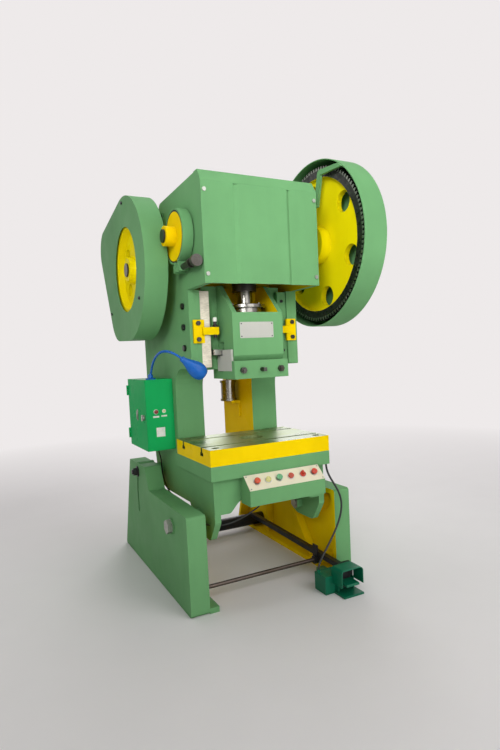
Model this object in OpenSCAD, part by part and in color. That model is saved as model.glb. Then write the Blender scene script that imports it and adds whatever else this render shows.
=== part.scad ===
// Open-back inclinable power press: a C-frame on two cast legs, with flywheel, bull gear, crank and slide

/* [Legs] */
// Width over the outer faces of the legs
leg_spread = 872; // [850:2:900]
// Width of each leg casting
leg_w = 90; // [80:1:95]
// Height of the leg's front part
leg_front_h = 450; // [435:1:465]
// Height of the leg's raised back part
leg_back_h = 567; // [550:1:575]
// Diameter of the floor bolt holes
anchor_d = 22; // [18:1:26]

/* [Frame] */
// Width over the side plates
frame_w = 590; // [580:2:600]
// Thickness of a side plate
side_t = 30; // [25:1:34]
// Clear opening between the uprights
upright_gap = 290; // [280:2:300]
// Distance from the slide's axis to the throat wall
throat_depth = 253; // [245:1:260]
// Height of the table's top
table_top_z = 658; // [645:1:665]
// Thickness of the table
table_t = 66; // [55:1:72]
// Height of the head
head_h = 487; // [475:1:500]
// Height of the head's lower edge
head_bottom_z = 1460; // [1450:1:1470]
// Length of the guides
guide_l = 370; // [360:1:380]

/* [Bolster] */
// Width of the bolster plate
bolster_w = 630; // [610:2:650]
// Depth of the bolster plate
bolster_d = 440; // [420:2:450]
// Thickness of the bolster plate
bolster_t = 75; // [65:1:85]

/* [Slide] */
// Stroke of the slide
stroke = 80; // [60:2:90]
// Width of the slide's body
slide_w = 268; // [262:2:274]
// How far the slide hangs below the guides at the top of the stroke
slide_drop = 57; // [50:1:65]
// Diameter of the die shank hole
shank_d = 50; // [40:1:52]
// Diameter of the ball screw
screw_d = 76; // [70:1:80]

/* [Drive] */
// Height of the crankshaft above the head's lower edge
crank_rise = 240; // [230:1:250]
// Module of the gears
gear_module = 7; // [6.8:0.1:7]
// Teeth on the bull gear
gear_teeth = 110; // [106:1:110]
// Teeth on the pinion
pinion_teeth = 16; // [15:1:17]
// Width of the gear teeth
gear_face = 80; // [60:1:84]
// Outer radius of the flywheel
flywheel_r = 335; // [325:1:338]
// Outer radius of the motor pulley
pulley_r = 82; // [76:1:86]

/* [Controls] */
// Width of the control box
control_w = 400; // [390:2:410]
// Height of the electrical box
cabinet_h = 370; // [340:2:380]

/* [Hidden] */
$fn = 48;

// Clearances: between pieces that move on each other, and in a bolt hole
gap = 0.4;
slack = 0.3;

// How far a band stays inside the tangents of the circles that it joins
lap = 0.4;

// Legs
leg_out = leg_spread / 2;
leg_in = leg_out - leg_w;
leg_web = 22;
leg_rim = 24;
leg_front = -205;
leg_back = 953;
leg_outline = [
    [leg_front, 0], [leg_back, 0], [738, leg_back_h], [432, leg_back_h], [368, leg_front_h],
    [leg_front, leg_front_h]
];
anchor_x = leg_in + 39;
anchor_front = -150;
anchor_back = 890;
anchor_mid = (anchor_front + anchor_back) / 2;

// Tilt pivot and its clamp slot
pivot = [0, 362];
pivot_r = 20;
slot_r = 592;
slot_from = -6;
slot_to = 17;
slot_half = 14;
clamp_angle = 15.5;
clamp_r = 12;
clamp = pivot + slot_r * [cos(clamp_angle), sin(clamp_angle)];

// Heights that follow the head
head_top_z = head_bottom_z + head_h;
guide_bottom_z = head_bottom_z - guide_l;
slide_bottom_z = guide_bottom_z - slide_drop;
crank_z = head_bottom_z + crank_rise;

// Frame
side_out = frame_w / 2;
side_in = side_out - side_t;
upright_in = upright_gap / 2;
table_bottom_z = table_top_z - table_t;
throat_wall = 30;
apron_front = -190;
apron_bottom_z = 430;
frame_back = 770;
head_front = -215;
head_back = 350;
guide_front = 0;
guide_in = 238;
side_outline = [
    [apron_front, table_bottom_z, 0], [apron_front, apron_bottom_z, 30], [480, apron_bottom_z - 15, 60],
    [640, apron_bottom_z + 10, 30], [frame_back, guide_bottom_z - 90, 80], [frame_back, head_bottom_z - 160, 60], [head_back, head_top_z, 30],
    [head_front + 32, head_top_z, 0], [head_front, head_top_z - 50, 0], [head_front, head_bottom_z, 0],
    [guide_front, head_bottom_z, 0], [guide_front, guide_bottom_z, 8], [throat_depth, guide_bottom_z, 110],
    [throat_depth, table_bottom_z, 0]
];

// Bolster
bolster_top_z = table_top_z + bolster_t;
bolster_bolt = [bolster_w / 2 - 45, bolster_d / 2 - 45];

// Slide and its guides
slide_x = slide_w / 2;
slide_front = -130;
slide_back = 120;
slide_top_z = slide_bottom_z + 310;
cheek_top_z = slide_bottom_z + 450;
rail_x = 215;
rail_front = 40;
rail_back = 130;
gib_front = 8;
gib_lip_x = 188;
clamp_split = -shank_d / 2 * 0.76;
clamp_block_front = -150;
clamp_block_h = 85;
clamp_bolt_x = 100;
knockout_z = slide_bottom_z + 117;
knockout_x = 182;
stop_x = 170;
stop_z = slide_bottom_z + 232;

// Crank, connecting rod and ball screw
crank_throw = stroke / 2;
pin_z = crank_z + crank_throw;
journal_r = 55;
crank_pin_r = 55;
rod_half = 48;
web_out = 104;
bush_r = 72;
screw_r = screw_d / 2;
ball_r = 48;
ball_z = slide_top_z - ball_r - 4;
cap_r = 80;
cap_t = 44;
socket_r = 60;
socket_bottom_z = slide_top_z + 110;

// Gears and drive shaft
pressure_angle = 20;
backlash = 1.4;
gear_pitch_r = gear_module * gear_teeth / 2;
pinion_pitch_r = gear_module * pinion_teeth / 2;
drive_drop = 10.9;
drive = [0, crank_z] + (gear_pitch_r + pinion_pitch_r) * [cos(drive_drop), -sin(drive_drop)];
gear_x = 436;
shaft_r = 35;
bearing_r = 62;
gear_guard_in = 415;
gear_guard_out = 545;
guard_t = 4;
gear_guard_r = gear_pitch_r + gear_module + 30;
pinion_guard_r = pinion_pitch_r + gear_module + 24;

// Flywheel, belts and motor
flywheel_in = 377;
flywheel_out = 462;
motor_axis = [890, crank_z + 100];
motor_r = 112;
motor_shaft_h = 132;
belt_x = [398, 420, 442];
belt_w = 13;
groove_d = 13;
belt_guard_in = 360;
belt_guard_out = 473;
belt_hole_r = 217;

// Brake on the left end of the crankshaft
drum_r = 110;
lining_t = 7;
band_t = 8;
band_in = 300;
band_out = 350;
brake_bolt_z = crank_z - 142;

// Electrical box
cabinet_front = 300;
cabinet_back = 645;
cabinet_rise = 103;
cabinet_bottom_z = leg_back_h + cabinet_rise;
cabinet_top_z = cabinet_bottom_z + cabinet_h;
cabinet_out = 440;
sheet_t = 3;
door_x = cabinet_out + gap;
lock_at = [cabinet_front + 38, cabinet_bottom_z + 0.47 * cabinet_h];
hinge_r = 6;
hinge_l = 56;
hinge_at = [-door_x - hinge_r, cabinet_back + hinge_r];
hinge_z = [cabinet_bottom_z + 36, cabinet_top_z - 36 - hinge_l];

// Control box: its slanted panel runs from panel_low up to panel_high
control_x = 40;
control_left = control_x - control_w / 2;
control_right = control_x + control_w / 2;
panel_low = [-285, table_bottom_z - 52];
panel_high = [-222, table_bottom_z + 6];
panel_mid = (panel_low + panel_high) / 2;
panel_angle = atan2(panel_high.y - panel_low.y, panel_high.x - panel_low.x);
panel_t = 3;
button_x = [-150, -92, -35, 28, 94, 156];
button_r = 14;
stem_r = 7;

// Foot switch on the floor, with its cable gland on the housing
switch_at = [291, -203];
switch_l = 210;
plate_w = 112;
plate_t = 9;
housing_x = [-104, -4];
housing_y = [-130, -40];
housing_h = 86;
hood_w = 124;
hood_z = [50, 128];
hood_y = [-202, -118];
hood_t = 4;
treadle_at = [-140, 54];
gland_at = [-93, -58];
gland_top_z = housing_h + 12;
cable_r = 5;
cable_top = [303, -206, table_bottom_z - 1];
cable_bulge = [364, -238, 385];
cable_end = [switch_at.x + gland_at.x, switch_at.y + gland_at.y, gland_top_z + 3 * slack];
cable_route = concat(
    bezier(cable_top, cable_top - [0, 0, 80], cable_bulge + [0, 0, 90], cable_bulge, 0, 20),
    bezier(cable_bulge, cable_bulge - [0, 0, 120], cable_end + [0, 0, 55], cable_end, 1, 24)
);

// Pedal
pedal_axis = [-78, 65];
pedal_shaft_r = 10;
pedal_x = 320;
pedal_lift = 32;
pedal_rise = 1.2;
pedal_front = -275;
pedal_back = 664;

// Work lamp: its neck starts on the electrical box
lamp_foot = [-402, 322, cabinet_top_z + 20];
lamp_start = lamp_foot + [36, -382, 82];
lamp_reach = [127, 18, -94];
lamp_route = bezier(lamp_foot, lamp_foot + [0, -51, 86], lamp_start - 140 * unit(lamp_reach), lamp_start, 0, 40);
lamp_neck_r = 6;

// Vectors and polygon corners
function unit(v) = v / norm(v);
function turned(v, a) = [v.x * cos(a) - v.y * sin(a), v.x * sin(a) + v.y * cos(a)];
function polar(r, a) = r * [cos(a), sin(a)];
function corner(p, before, after, r, n) =
    let (
        u = unit(before - p),
        v = unit(after - p),
        half = acos(u * v) / 2,
        centre = p + unit(u + v) * r / sin(half),
        start = p + u * r / tan(half) - centre,
        sweep = (u.x * v.y - u.y * v.x > 0 ? -1 : 1) * (180 - 2 * half)
    )
    [for (i = [0:n]) centre + turned(start, sweep * i / n)];

// Points [x, y, r] with each corner rounded to its own radius
function rounded(points, n = 6) =
    let (count = len(points), flat = [for (p = points) [p.x, p.y]])
    [
        for (i = [0:count - 1])
            each points[i].z == 0
                ? [flat[i]]
                : corner(flat[i], flat[(i + count - 1) % count], flat[(i + 1) % count], points[i].z, n)
    ];
function with_radius(points, r) = [for (p = points) [p.x, p.y, r]];

// A counter-clockwise outline moved inwards by d
function inset(points, d) =
    let (count = len(points))
    [
        for (i = [0:count - 1])
            let (
                e = unit(points[i] - points[(i + count - 1) % count]),
                f = unit(points[(i + 1) % count] - points[i]),
                m = [-e.y, e.x],
                n = [-f.y, f.x]
            )
            points[i] + (m + n) * d / (1 + m * n)
    ];

// Points from number first to number last on a curve with two guide points, and a tube along such points
function bezier(a, b, c, d, first, last) = [
    for (i = [first:last])
        let (t = i / last, u = 1 - t)
        u * u * u * a + 3 * u * u * t * b + 3 * u * t * t * c + t * t * t * d
];
module tube(path, r, side) {
    last = len(path) - 1;
    sides = 10;
    rings = [
        for (i = [0:last])
            let (
                along = unit(path[min(i + 1, last)] - path[max(i - 1, 0)]),
                u = unit(cross(along, side)),
                v = cross(along, u)
            )
            for (k = [0:sides - 1]) path[i] + r * (cos(36 * k) * u + sin(36 * k) * v)
    ];
    walls = [
        for (i = [0:last - 1], k = [0:sides - 1])
            let (a = i * sides + k, b = i * sides + (k + 1) % sides)
            each [[a, a + sides, b], [b, a + sides, b + sides]]
    ];
    first_cap = [for (k = [0:sides - 1]) k];
    last_cap = [for (k = [sides - 1:-1:0]) last * sides + k];
    polyhedron(rings, concat(walls, [first_cap, last_cap]));
}

// Involute teeth: half the angle of a tooth at radius r, and a whole toothed outline
function involute(a) = tan(a) * 180 / PI - a;
function tooth_half(r, teeth) =
    let (pitch_r = gear_module * teeth / 2, base_r = pitch_r * cos(pressure_angle))
    90 / teeth - backlash / 4 / pitch_r * 180 / PI + involute(pressure_angle)
        - involute(acos(min(1, base_r / r)));
function gear_outline(teeth, phase) =
    let (
        pitch_r = gear_module * teeth / 2,
        base_r = pitch_r * cos(pressure_angle),
        root_r = pitch_r - 1.25 * gear_module,
        low_r = max(base_r, root_r),
        radii = [for (i = [0:3]) low_r + (pitch_r + gear_module - low_r) * i / 3],
        root = base_r > root_r ? [root_r] : []
    )
    [
        for (k = [0:teeth - 1])
            let (middle = phase + k * 360 / teeth)
            each concat(
                [for (r = root) polar(r, middle - tooth_half(low_r, teeth))],
                [for (r = radii) polar(r, middle - tooth_half(r, teeth))],
                [for (i = [3:-1:0]) polar(radii[i], middle + tooth_half(radii[i], teeth))],
                [for (r = root) polar(r, middle + tooth_half(low_r, teeth))]
            )
    ];

// Placing: the model is drawn about the slide's axis and stands on the centre of its floor bolts
module stand() translate([0, -anchor_mid, 0]) children();
module along_x(from, to) translate([from, 0, 0]) rotate([90, 0, 90]) linear_extrude(to - from) children();
module rod_x(r, from, to, at) translate([from, at.x, at.y]) rotate([0, 90, 0]) cylinder(r = r, h = to - from);
module rod_y(r, from, to, x, z) translate([x, from, z]) rotate([-90, 0, 0]) cylinder(r = r, h = to - from);
module rod_z(r, from, to, x = 0, y = 0) translate([x, y, from]) cylinder(r = r, h = to - from);
module block(x, y, z) translate([x[0], y[0], z[0]]) cube([x[1] - x[0], y[1] - y[0], z[1] - z[0]]);
module both_sides() {
    children();
    mirror([1, 0, 0]) children();
}
module hex_x(across, from, to, at)
    translate([from, at.x, at.y]) rotate([0, 90, 0]) cylinder(d = across / cos(30), h = to - from, $fn = 6);
module hex_y(across, from, to, x, z)
    translate([x, from, z]) rotate([-90, 0, 0]) cylinder(d = across / cos(30), h = to - from, $fn = 6);

// Outline of two circles and the flat band that joins them, a little inside the tangents
module two_circles(a, ra, b, rb) {
    along = b - a;
    facing = atan2(along.y, along.x);
    spread = acos((ra - rb) / norm(along));
    translate(a) circle(ra, $fn = 96);
    translate(b) circle(rb, $fn = 96);
    polygon([
        a + polar(ra - lap, facing - spread), b + polar(rb - lap, facing - spread),
        b + polar(rb - lap, facing + spread), a + polar(ra - lap, facing + spread)
    ]);
}

// Part of a ring about the tilt pivot
module pivot_arc(r, half, from, to) {
    middle = (from + to) / 2;
    reach = 1.5 * r;
    translate(pivot) {
        intersection() {
            difference() {
                circle(r + half - lap, $fn = 180);
                circle(r - half + lap, $fn = 180);
            }
            polygon([[0, 0], polar(reach, from), polar(reach, middle), polar(reach, to)]);
        }
        translate(polar(r, from)) circle(half);
        translate(polar(r, to)) circle(half);
    }
}

// Legs
module leg() {
    foot_w = 45;
    foot_t = 25;
    rib_t = 18;
    boss_r = leg_front_h - leg_rim - pivot.y + 4;
    inner = inset(leg_outline, leg_rim);
    difference() {
        union() {
            difference() {
                along_x(leg_in, leg_out) polygon(rounded(with_radius(leg_outline, 14)));
                along_x(leg_in - 1, leg_out - leg_web) polygon(rounded(with_radius(inner, 26)));
            }
            rod_x(boss_r, leg_in, leg_out - 1, pivot);
            along_x(leg_in, leg_out - 1) pivot_arc(slot_r, 40, slot_from - 1, slot_to);
            rod_x(26, leg_in, leg_out - 1, pedal_axis);
            along_x(leg_in + 24, leg_out - 1)
                polygon([[60, 20], [60 + rib_t, 20], [398, leg_front_h - 8], [398 - rib_t, leg_front_h - 12]]);
            along_x(leg_in + 24, leg_out - 1)
                polygon([[560, 20], [560 + rib_t, 20], [560 + rib_t, 340], [560, 340]]);
            block([leg_in - foot_w, leg_in + 1], [leg_front, leg_front + 120], [0, foot_t]);
            block([leg_in - foot_w, leg_in + 1], [leg_back - 150, leg_back - 10], [0, foot_t]);
        }
        rod_x(pivot_r + slack / 3, leg_in - 1, leg_out + 1, pivot);
        along_x(leg_in - 1, leg_out + 1) pivot_arc(slot_r, slot_half, slot_from, slot_to);
        rod_x(pedal_shaft_r + slack / 3, leg_in - 1, leg_out - leg_web, pedal_axis);
        for (y = [anchor_front, anchor_back]) rod_z(anchor_d / 2, -1, foot_t + 10, anchor_x, y);
    }
}
module left_leg() stand() color("seagreen") mirror([1, 0, 0]) leg();
module right_leg() stand() color("seagreen") leg();

module rear_tie_tube() stand() color("dimgray") difference() {
    at = [720, 66];
    rod_x(37.5, -leg_out + leg_web, leg_out - leg_web, at);
    rod_x(33, -leg_out, leg_out, at);
}

module pedal_shaft() stand() color("dimgray")
    rod_x(pedal_shaft_r, -leg_out + leg_web + 2, leg_out - leg_web - 2, pedal_axis);

module pivot_bolts() stand() color("dimgray") both_sides() {
    washer_t = 7;
    rod_x(pivot_r, side_in - 36, leg_out + washer_t, pivot);
    rod_x(36, leg_out, leg_out + washer_t, pivot);
    hex_x(60, leg_out + washer_t, leg_out + washer_t + 22, pivot);
    hex_x(60, side_in - 30, side_in - gap, pivot);
}

// Foot switch, drawn with its mouth towards -y
module at_switch() stand() translate([switch_at.x, switch_at.y, 0]) children();
module footswitch_base() at_switch() color("teal") {
    wall = 4;
    block([-plate_w / 2, plate_w / 2], [-switch_l, hood_y[1]], [0, plate_t]);
    difference() {
        block(housing_x, housing_y, [0, housing_h]);
        block(housing_x + [wall, -wall], housing_y + [wall, -wall], [-1, housing_h - wall]);
    }
    rod_z(9, housing_h - 1, gland_top_z, gland_at.x, gland_at.y);
    both_sides() block([40, 46], [treadle_at.x - 10, treadle_at.x + 10], [plate_t - 1, treadle_at.y + 14]);
}
module hood_arch(w, h, r, from, to) translate([0, to, 0]) rotate([90, 0, 0]) linear_extrude(to - from)
    polygon(rounded([[-w / 2, hood_z[0] - 1, 0], [w / 2, hood_z[0] - 1, 0], [w / 2, h, r], [-w / 2, h, r]]));
module footswitch_hood() at_switch() color("teal") intersection() {
    difference() {
        hood_arch(hood_w, hood_z[1], 16, hood_y[0], hood_y[1]);
        hood_arch(hood_w - 2 * hood_t, hood_z[1] - hood_t, 12, hood_y[0] - 1, hood_y[1] - hood_t);
    }
    along_x(-hood_w, hood_w) polygon([
        [hood_y[0] - 10, hood_z[0]], [housing_y[0], hood_z[0]], [housing_y[0], housing_h], [hood_y[1] + 1, housing_h],
        [hood_y[1] + 1, hood_z[1] + 1], [hood_y[0] + 6, hood_z[1] + 1], [hood_y[0] - 10, hood_z[1] - 30]
    ]);
}
module footswitch_treadle() at_switch() color("dimgray") {
    along_x(-36, 36) polygon([
        treadle_at + [4, -5], treadle_at + [4, 5], treadle_at + [-60, 4], treadle_at + [-64, 0], treadle_at + [-64, -6]
    ]);
    rod_x(6, -39.5, 39.5, treadle_at);
}
module footswitch_cable() stand() color("black") tube(cable_route, cable_r, [1, 0, -1]);

module pedal_lever() stand() color("dimgray") {
    bar = 13;
    difference() {
        union() {
            translate([pedal_x, pedal_axis.x, pedal_axis.y + pedal_lift]) rotate([pedal_rise, 0, 0])
                block([-bar, bar], [pedal_front - pedal_axis.x, pedal_back - pedal_axis.x], [-bar, bar]);
            rod_x(22, pedal_x - 27, pedal_x + 5, pedal_axis);
            block(
                [pedal_x - 20, pedal_x - 11], [pedal_axis.x - 19, pedal_axis.x + 19],
                [pedal_axis.y, pedal_axis.y + pedal_lift + 46]
            );
        }
        rod_x(pedal_shaft_r + gap, pedal_x - 30, pedal_x + 30, pedal_axis);
    }
    block([pedal_x - 6, pedal_x + 78], [pedal_front - 30, pedal_front + 45], [pedal_axis.y + 18, pedal_axis.y + 26]);
}

// Side plates, with a lug below for the tilt pivot
lug_r = 64;
lug_outline = [
    [apron_front, apron_bottom_z + 60, 0], [apron_front, apron_bottom_z - 36, 30],
    [pivot.x - 124, pivot.y - lug_r, 26], [pivot.x + 40, pivot.y - lug_r, 60], [170, apron_bottom_z + 60, 0]
];
module side_plate() {
    difference() {
        union() {
            along_x(side_in, side_out) {
                polygon(rounded(side_outline));
                polygon(rounded(lug_outline));
            }
            rod_x(58, side_out - 1, leg_in - gap, pivot);
            rod_x(34, side_out - 1, leg_in - gap, clamp);
            rod_x(105, side_in - 60, side_in + 1, [0, crank_z]);
            rod_x(86, side_in - 40, side_in + 1, drive);
        }
        rod_x(pivot_r + gap, side_in - 1, leg_out, pivot);
        rod_x(clamp_r + slack, side_in - 1, leg_out, clamp);
        rod_x(bush_r, side_in - 61, side_out + 1, [0, crank_z]);
        rod_x(bearing_r, side_in - 41, side_out + 1, drive);
        for (z = gib_screw_z) rod_x(gib_screw_r + slack, side_in - 1, side_out + 1, [gib_screw_y, z]);
    }
}
module left_side_plate() stand() color("seagreen") {
    mirror([1, 0, 0]) side_plate();
    difference() {
        block([-band_out + 6, -side_out], [10, 44], [brake_bolt_z - 18, brake_bolt_z + 15]);
        rod_y(8 + slack, 0, 60, -(band_in + band_out) / 2, brake_bolt_z);
    }
}
module right_side_plate() stand() color("seagreen") side_plate();

// Uprights with the guide blocks at their top
gib_screw_y = 70;
gib_screw_r = 8;
gib_screw_z = [for (part = [0.27, 0.54, 0.81]) guide_bottom_z + part * guide_l];
module upright() {
    back = throat_depth + throat_wall;
    difference() {
        along_x(guide_in, side_in) polygon(rounded([
            [guide_front, guide_bottom_z, 8], [throat_depth, guide_bottom_z, 110],
            [throat_depth, table_bottom_z, 0], [back, table_bottom_z, 0], [back, head_bottom_z, 0],
            [guide_front, head_bottom_z, 0]
        ]));
        for (z = gib_screw_z) rod_x(gib_screw_r + slack, guide_in - 1, side_in + 1, [gib_screw_y, z]);
    }
    along_x(upright_in, guide_in) polygon(rounded([
        [rail_back + slack, guide_bottom_z, 0], [throat_depth, guide_bottom_z, 110],
        [throat_depth, table_bottom_z, 0], [back, table_bottom_z, 0], [back, head_bottom_z, 0],
        [rail_back + slack, head_bottom_z, 0]
    ]));
    block([upright_in, upright_in + 24], [back, 640], [table_bottom_z, head_bottom_z - 200]);
}
module left_upright() stand() color("gold") mirror([1, 0, 0]) upright();
module right_upright() stand() color("gold") upright();

module table_block() stand() color("seagreen") difference() {
    union() {
        block([-bolster_w / 2, bolster_w / 2], [-bolster_d / 2, throat_depth], [table_bottom_z, table_top_z]);
        translate([0, apron_front + 30, 0]) rotate([90, 0, 0]) linear_extrude(30) polygon(rounded([
            [-side_in, table_bottom_z, 0], [-side_in, apron_bottom_z, 0], [-215, apron_bottom_z, 20],
            [-165, apron_bottom_z + 55, 60], [165, apron_bottom_z + 55, 60], [215, apron_bottom_z, 20],
            [side_in, apron_bottom_z, 0], [side_in, table_bottom_z, 0]
        ]));
        both_sides() block([150, 174], [apron_front + 29, throat_depth], [table_bottom_z - 90, table_bottom_z + 1]);
        block([-side_in, side_in], [throat_depth - 50, 614], [table_bottom_z - 24, table_bottom_z]);
        block([-side_in, side_in], [590, 614], [apron_bottom_z + 10, table_bottom_z]);
    }
    rod_z(100, table_bottom_z - 1, table_top_z + 1);
    both_sides() for (y = [-1, 1])
        rod_z(10 + slack, table_bottom_z - 1, table_top_z + 1, bolster_bolt.x, y * bolster_bolt.y);
}

module head_box() stand() color("gold") {
    roof_t = 30;
    back_t = 18;
    web = [215, 245];
    slope = unit([frame_back, head_bottom_z - 160] - [head_back, head_top_z]);
    inward = [slope.y, -slope.x];
    top = [head_back, head_top_z] + slope * 10;
    low = top + slope * 290;
    block([-side_in, side_in], [head_front + 34, head_back - 2], [head_top_z - roof_t, head_top_z]);
    along_x(-side_in, side_in) polygon([top, top + inward * back_t, low + inward * back_t, low]);
    block([-side_in, side_in], web, [head_bottom_z, head_top_z - roof_t]);
    block([-upright_in, upright_in], web, [guide_bottom_z + 30, head_bottom_z + 1]);
}

module tilt_bolts() stand() color("dimgray") both_sides() {
    washer = [leg_out + gap, leg_out + gap + 6];
    rod_x(clamp_r, side_in - 26, washer[1] + 28, clamp);
    rod_x(30, washer[0], washer[1], clamp);
    hex_x(36, washer[1], washer[1] + 20, clamp);
    hex_x(36, side_in - 20, side_in, clamp);
}

module bolster_plate() stand() color("gold") difference() {
    slot_w = 18;
    block([-bolster_w / 2, bolster_w / 2], [-bolster_d / 2, bolster_d / 2], [table_top_z, bolster_top_z]);
    rod_z(60, table_top_z - 1, bolster_top_z + 1);
    for (y = [-120, 120]) {
        block([-bolster_w, bolster_w], [y - slot_w / 2, y + slot_w / 2], [bolster_top_z - 24, bolster_top_z + 1]);
        block([-bolster_w, bolster_w], [y - slot_w, y + slot_w], [bolster_top_z - 38, bolster_top_z - 22]);
    }
    both_sides() for (y = [-1, 1]) {
        rod_z(10 + slack, table_top_z - 1, bolster_top_z + 1, bolster_bolt.x, y * bolster_bolt.y);
        rod_z(18, bolster_top_z - 26, bolster_top_z + 1, bolster_bolt.x, y * bolster_bolt.y);
    }
}

// Front cover of the head: a folded sheet with a raised middle
tray_x = 141;
tray_bevel = 16;
tray_rise = 10;
cover_screw = [side_in + side_t / 2, 40];
module head_cover() stand() color("seagreen") {
    face = head_front - sheet_t;
    top = head_top_z + sheet_t;
    difference() {
        along_x(-side_out, side_out) polygon([
            [head_front, head_bottom_z], [head_front, head_top_z - 50], [head_front + 32, head_top_z],
            [head_front + 70, head_top_z], [head_front + 70, top], [head_front + 30, top],
            [face, head_top_z - 49], [face, head_bottom_z]
        ]);
        block([-tray_x + 1, tray_x - 1], [face - 1, head_front + 1], [head_bottom_z - 1, head_top_z - 54]);
        both_sides() for (z = [head_bottom_z + cover_screw.y, head_top_z - 50 - cover_screw.y])
            rod_y(4 + slack, face - 1, head_front + 1, cover_screw.x, z);
    }
    translate([0, 0, head_bottom_z]) linear_extrude(head_top_z - 54 - head_bottom_z) polygon([
        [-tray_x, head_front], [-tray_x, face], [-tray_x + tray_bevel, face - tray_rise],
        [tray_x - tray_bevel, face - tray_rise], [tray_x, face], [tray_x, head_front],
        [tray_x - 2, head_front], [tray_x - tray_bevel - 1, face - tray_rise + sheet_t],
        [-tray_x + tray_bevel + 1, face - tray_rise + sheet_t], [-tray_x + 2, head_front]
    ]);
    block([-tray_x, tray_x], [face - tray_rise, head_front], [head_top_z - 57, head_top_z - 53]);
}

module gib() translate([0, 0, guide_bottom_z + 2]) linear_extrude(head_bottom_z - guide_bottom_z - 6) polygon([
    [gib_lip_x, gib_front], [guide_in, gib_front], [guide_in, rail_back], [rail_x + gap, rail_back],
    [rail_x + gap, rail_front - gap], [gib_lip_x, rail_front - gap]
]);
module left_gib() stand() color("wheat") mirror([1, 0, 0]) gib();
module right_gib() stand() color("wheat") gib();

module frame_bolts() stand() color("dimgray") both_sides() {
    face = head_front - sheet_t;
    for (z = gib_screw_z) {
        rod_x(gib_screw_r, guide_in, side_out + 4, [gib_screw_y, z]);
        hex_x(26, side_out, side_out + 12, [gib_screw_y, z]);
    }
    for (y = [-1, 1]) {
        rod_z(10, table_bottom_z + 6, bolster_top_z - 20, bolster_bolt.x, y * bolster_bolt.y);
        rod_z(15, bolster_top_z - 26, bolster_top_z - 8, bolster_bolt.x, y * bolster_bolt.y);
    }
    for (z = [head_bottom_z + cover_screw.y, head_top_z - 50 - cover_screw.y]) {
        rod_y(9, face - 5, face, cover_screw.x, z);
        rod_y(4, face - 1, head_front, cover_screw.x, z);
    }
}

// Knock-out stops on the guide blocks, with their screws
module knockout_stops() stand() color("gold") both_sides() difference() {
    union() {
        block([guide_in - 12, side_in + 15], [guide_front - 14, guide_front], [stop_z - 56, stop_z + 54]);
        block([stop_x - 14, guide_in], [guide_front - 26, guide_front], [stop_z - 18, stop_z + 18]);
    }
    rod_z(8 + slack, stop_z - 20, stop_z + 20, stop_x, guide_front - 12);
}
module stop_screws() stand() color("dimgray") both_sides() {
    rod_z(8, stop_z - 32, stop_z + 44, stop_x, guide_front - 12);
    translate([stop_x, guide_front - 12, stop_z + 18]) cylinder(d = 24 / cos(30), h = 10, $fn = 6);
    for (z = [-38, 38]) hex_y(20, guide_front - 23, guide_front - 14, (guide_in + side_in) / 2 + 6, stop_z + z);
}

// Bearings
module crank_bushes() stand() color("peru") both_sides() difference() {
    rod_x(bush_r, side_in - 60, side_out + 1, [0, crank_z]);
    rod_x(journal_r + slack, side_in - 61, side_out + 2, [0, crank_z]);
}
module shaft_bearings() stand() color("silver") both_sides() difference() {
    union() {
        rod_x(bearing_r, side_in - 40, side_out + 1, drive);
        rod_x(bearing_r + 22, side_out, side_out + 14, drive);
    }
    rod_x(shaft_r + slack, side_in - 41, side_out + 15, drive);
}

// Crankshaft in two halves, with the pin carried in the connecting rod between them
module crankshaft() stand() color("silver") {
    both_sides() along_x(rod_half + 2 + gap, web_out) two_circles([0, crank_z], 85, [0, pin_z], 70);
    rod_x(journal_r, -band_in + 2, -web_out + 1, [0, crank_z]);
    rod_x(38, -band_out, -band_in + 3, [0, crank_z]);
    rod_x(30, -band_out - 56, -band_out + 1, [0, crank_z]);
    rod_x(journal_r, web_out - 1, gear_x - 32, [0, crank_z]);
    rod_x(50, gear_x - 33, gear_guard_out - 10, [0, crank_z]);
}
module brake_drum() stand() color("gold") difference() {
    union() {
        rod_x(drum_r, -band_out, -band_in, [0, crank_z]);
        rod_x(45, -band_out - 48, -band_out + 1, [0, crank_z]);
    }
    rod_x(38, -band_out, -band_in + 1, [0, crank_z]);
    rod_x(30, -band_out - 50, -band_out + 1, [0, crank_z]);
}

// Brake band, open at the bottom between its two ears
module brake_ring(inner, outer) difference() {
    translate([0, crank_z]) circle(outer, $fn = 120);
    translate([0, crank_z]) circle(inner, $fn = 120);
    translate([-34, crank_z - 200]) square([40, 200]);
}
module brake_band() stand() color("seagreen") difference() {
    lining_out = drum_r + gap + lining_t;
    union() {
        along_x(-band_out, -band_in) brake_ring(lining_out, lining_out + band_t);
        for (y = [-44, 0]) block([-band_out, -band_in], [y, y + 10], [brake_bolt_z - 18, crank_z - lining_out + 2]);
    }
    rod_y(8 + slack, -60, 40, -(band_in + band_out) / 2, brake_bolt_z);
    rod_x(lining_out, -band_out - 1, -band_in + 1, [0, crank_z]);
}
module brake_lining() stand() color("black")
    along_x(-band_out + 1, -band_in - 1) brake_ring(drum_r + gap, drum_r + gap + lining_t);
module brake_adjuster() stand() color("dimgray") {
    x = -(band_in + band_out) / 2;
    rod_y(8, -190, 56, x, brake_bolt_z);
    rod_y(15, -130, -44, x, brake_bolt_z);
    rod_y(22, -150, -130, x, brake_bolt_z);
    rod_y(26, -212, -188, x, brake_bolt_z);
    hex_y(26, 44, 56, x, brake_bolt_z);
}

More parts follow.
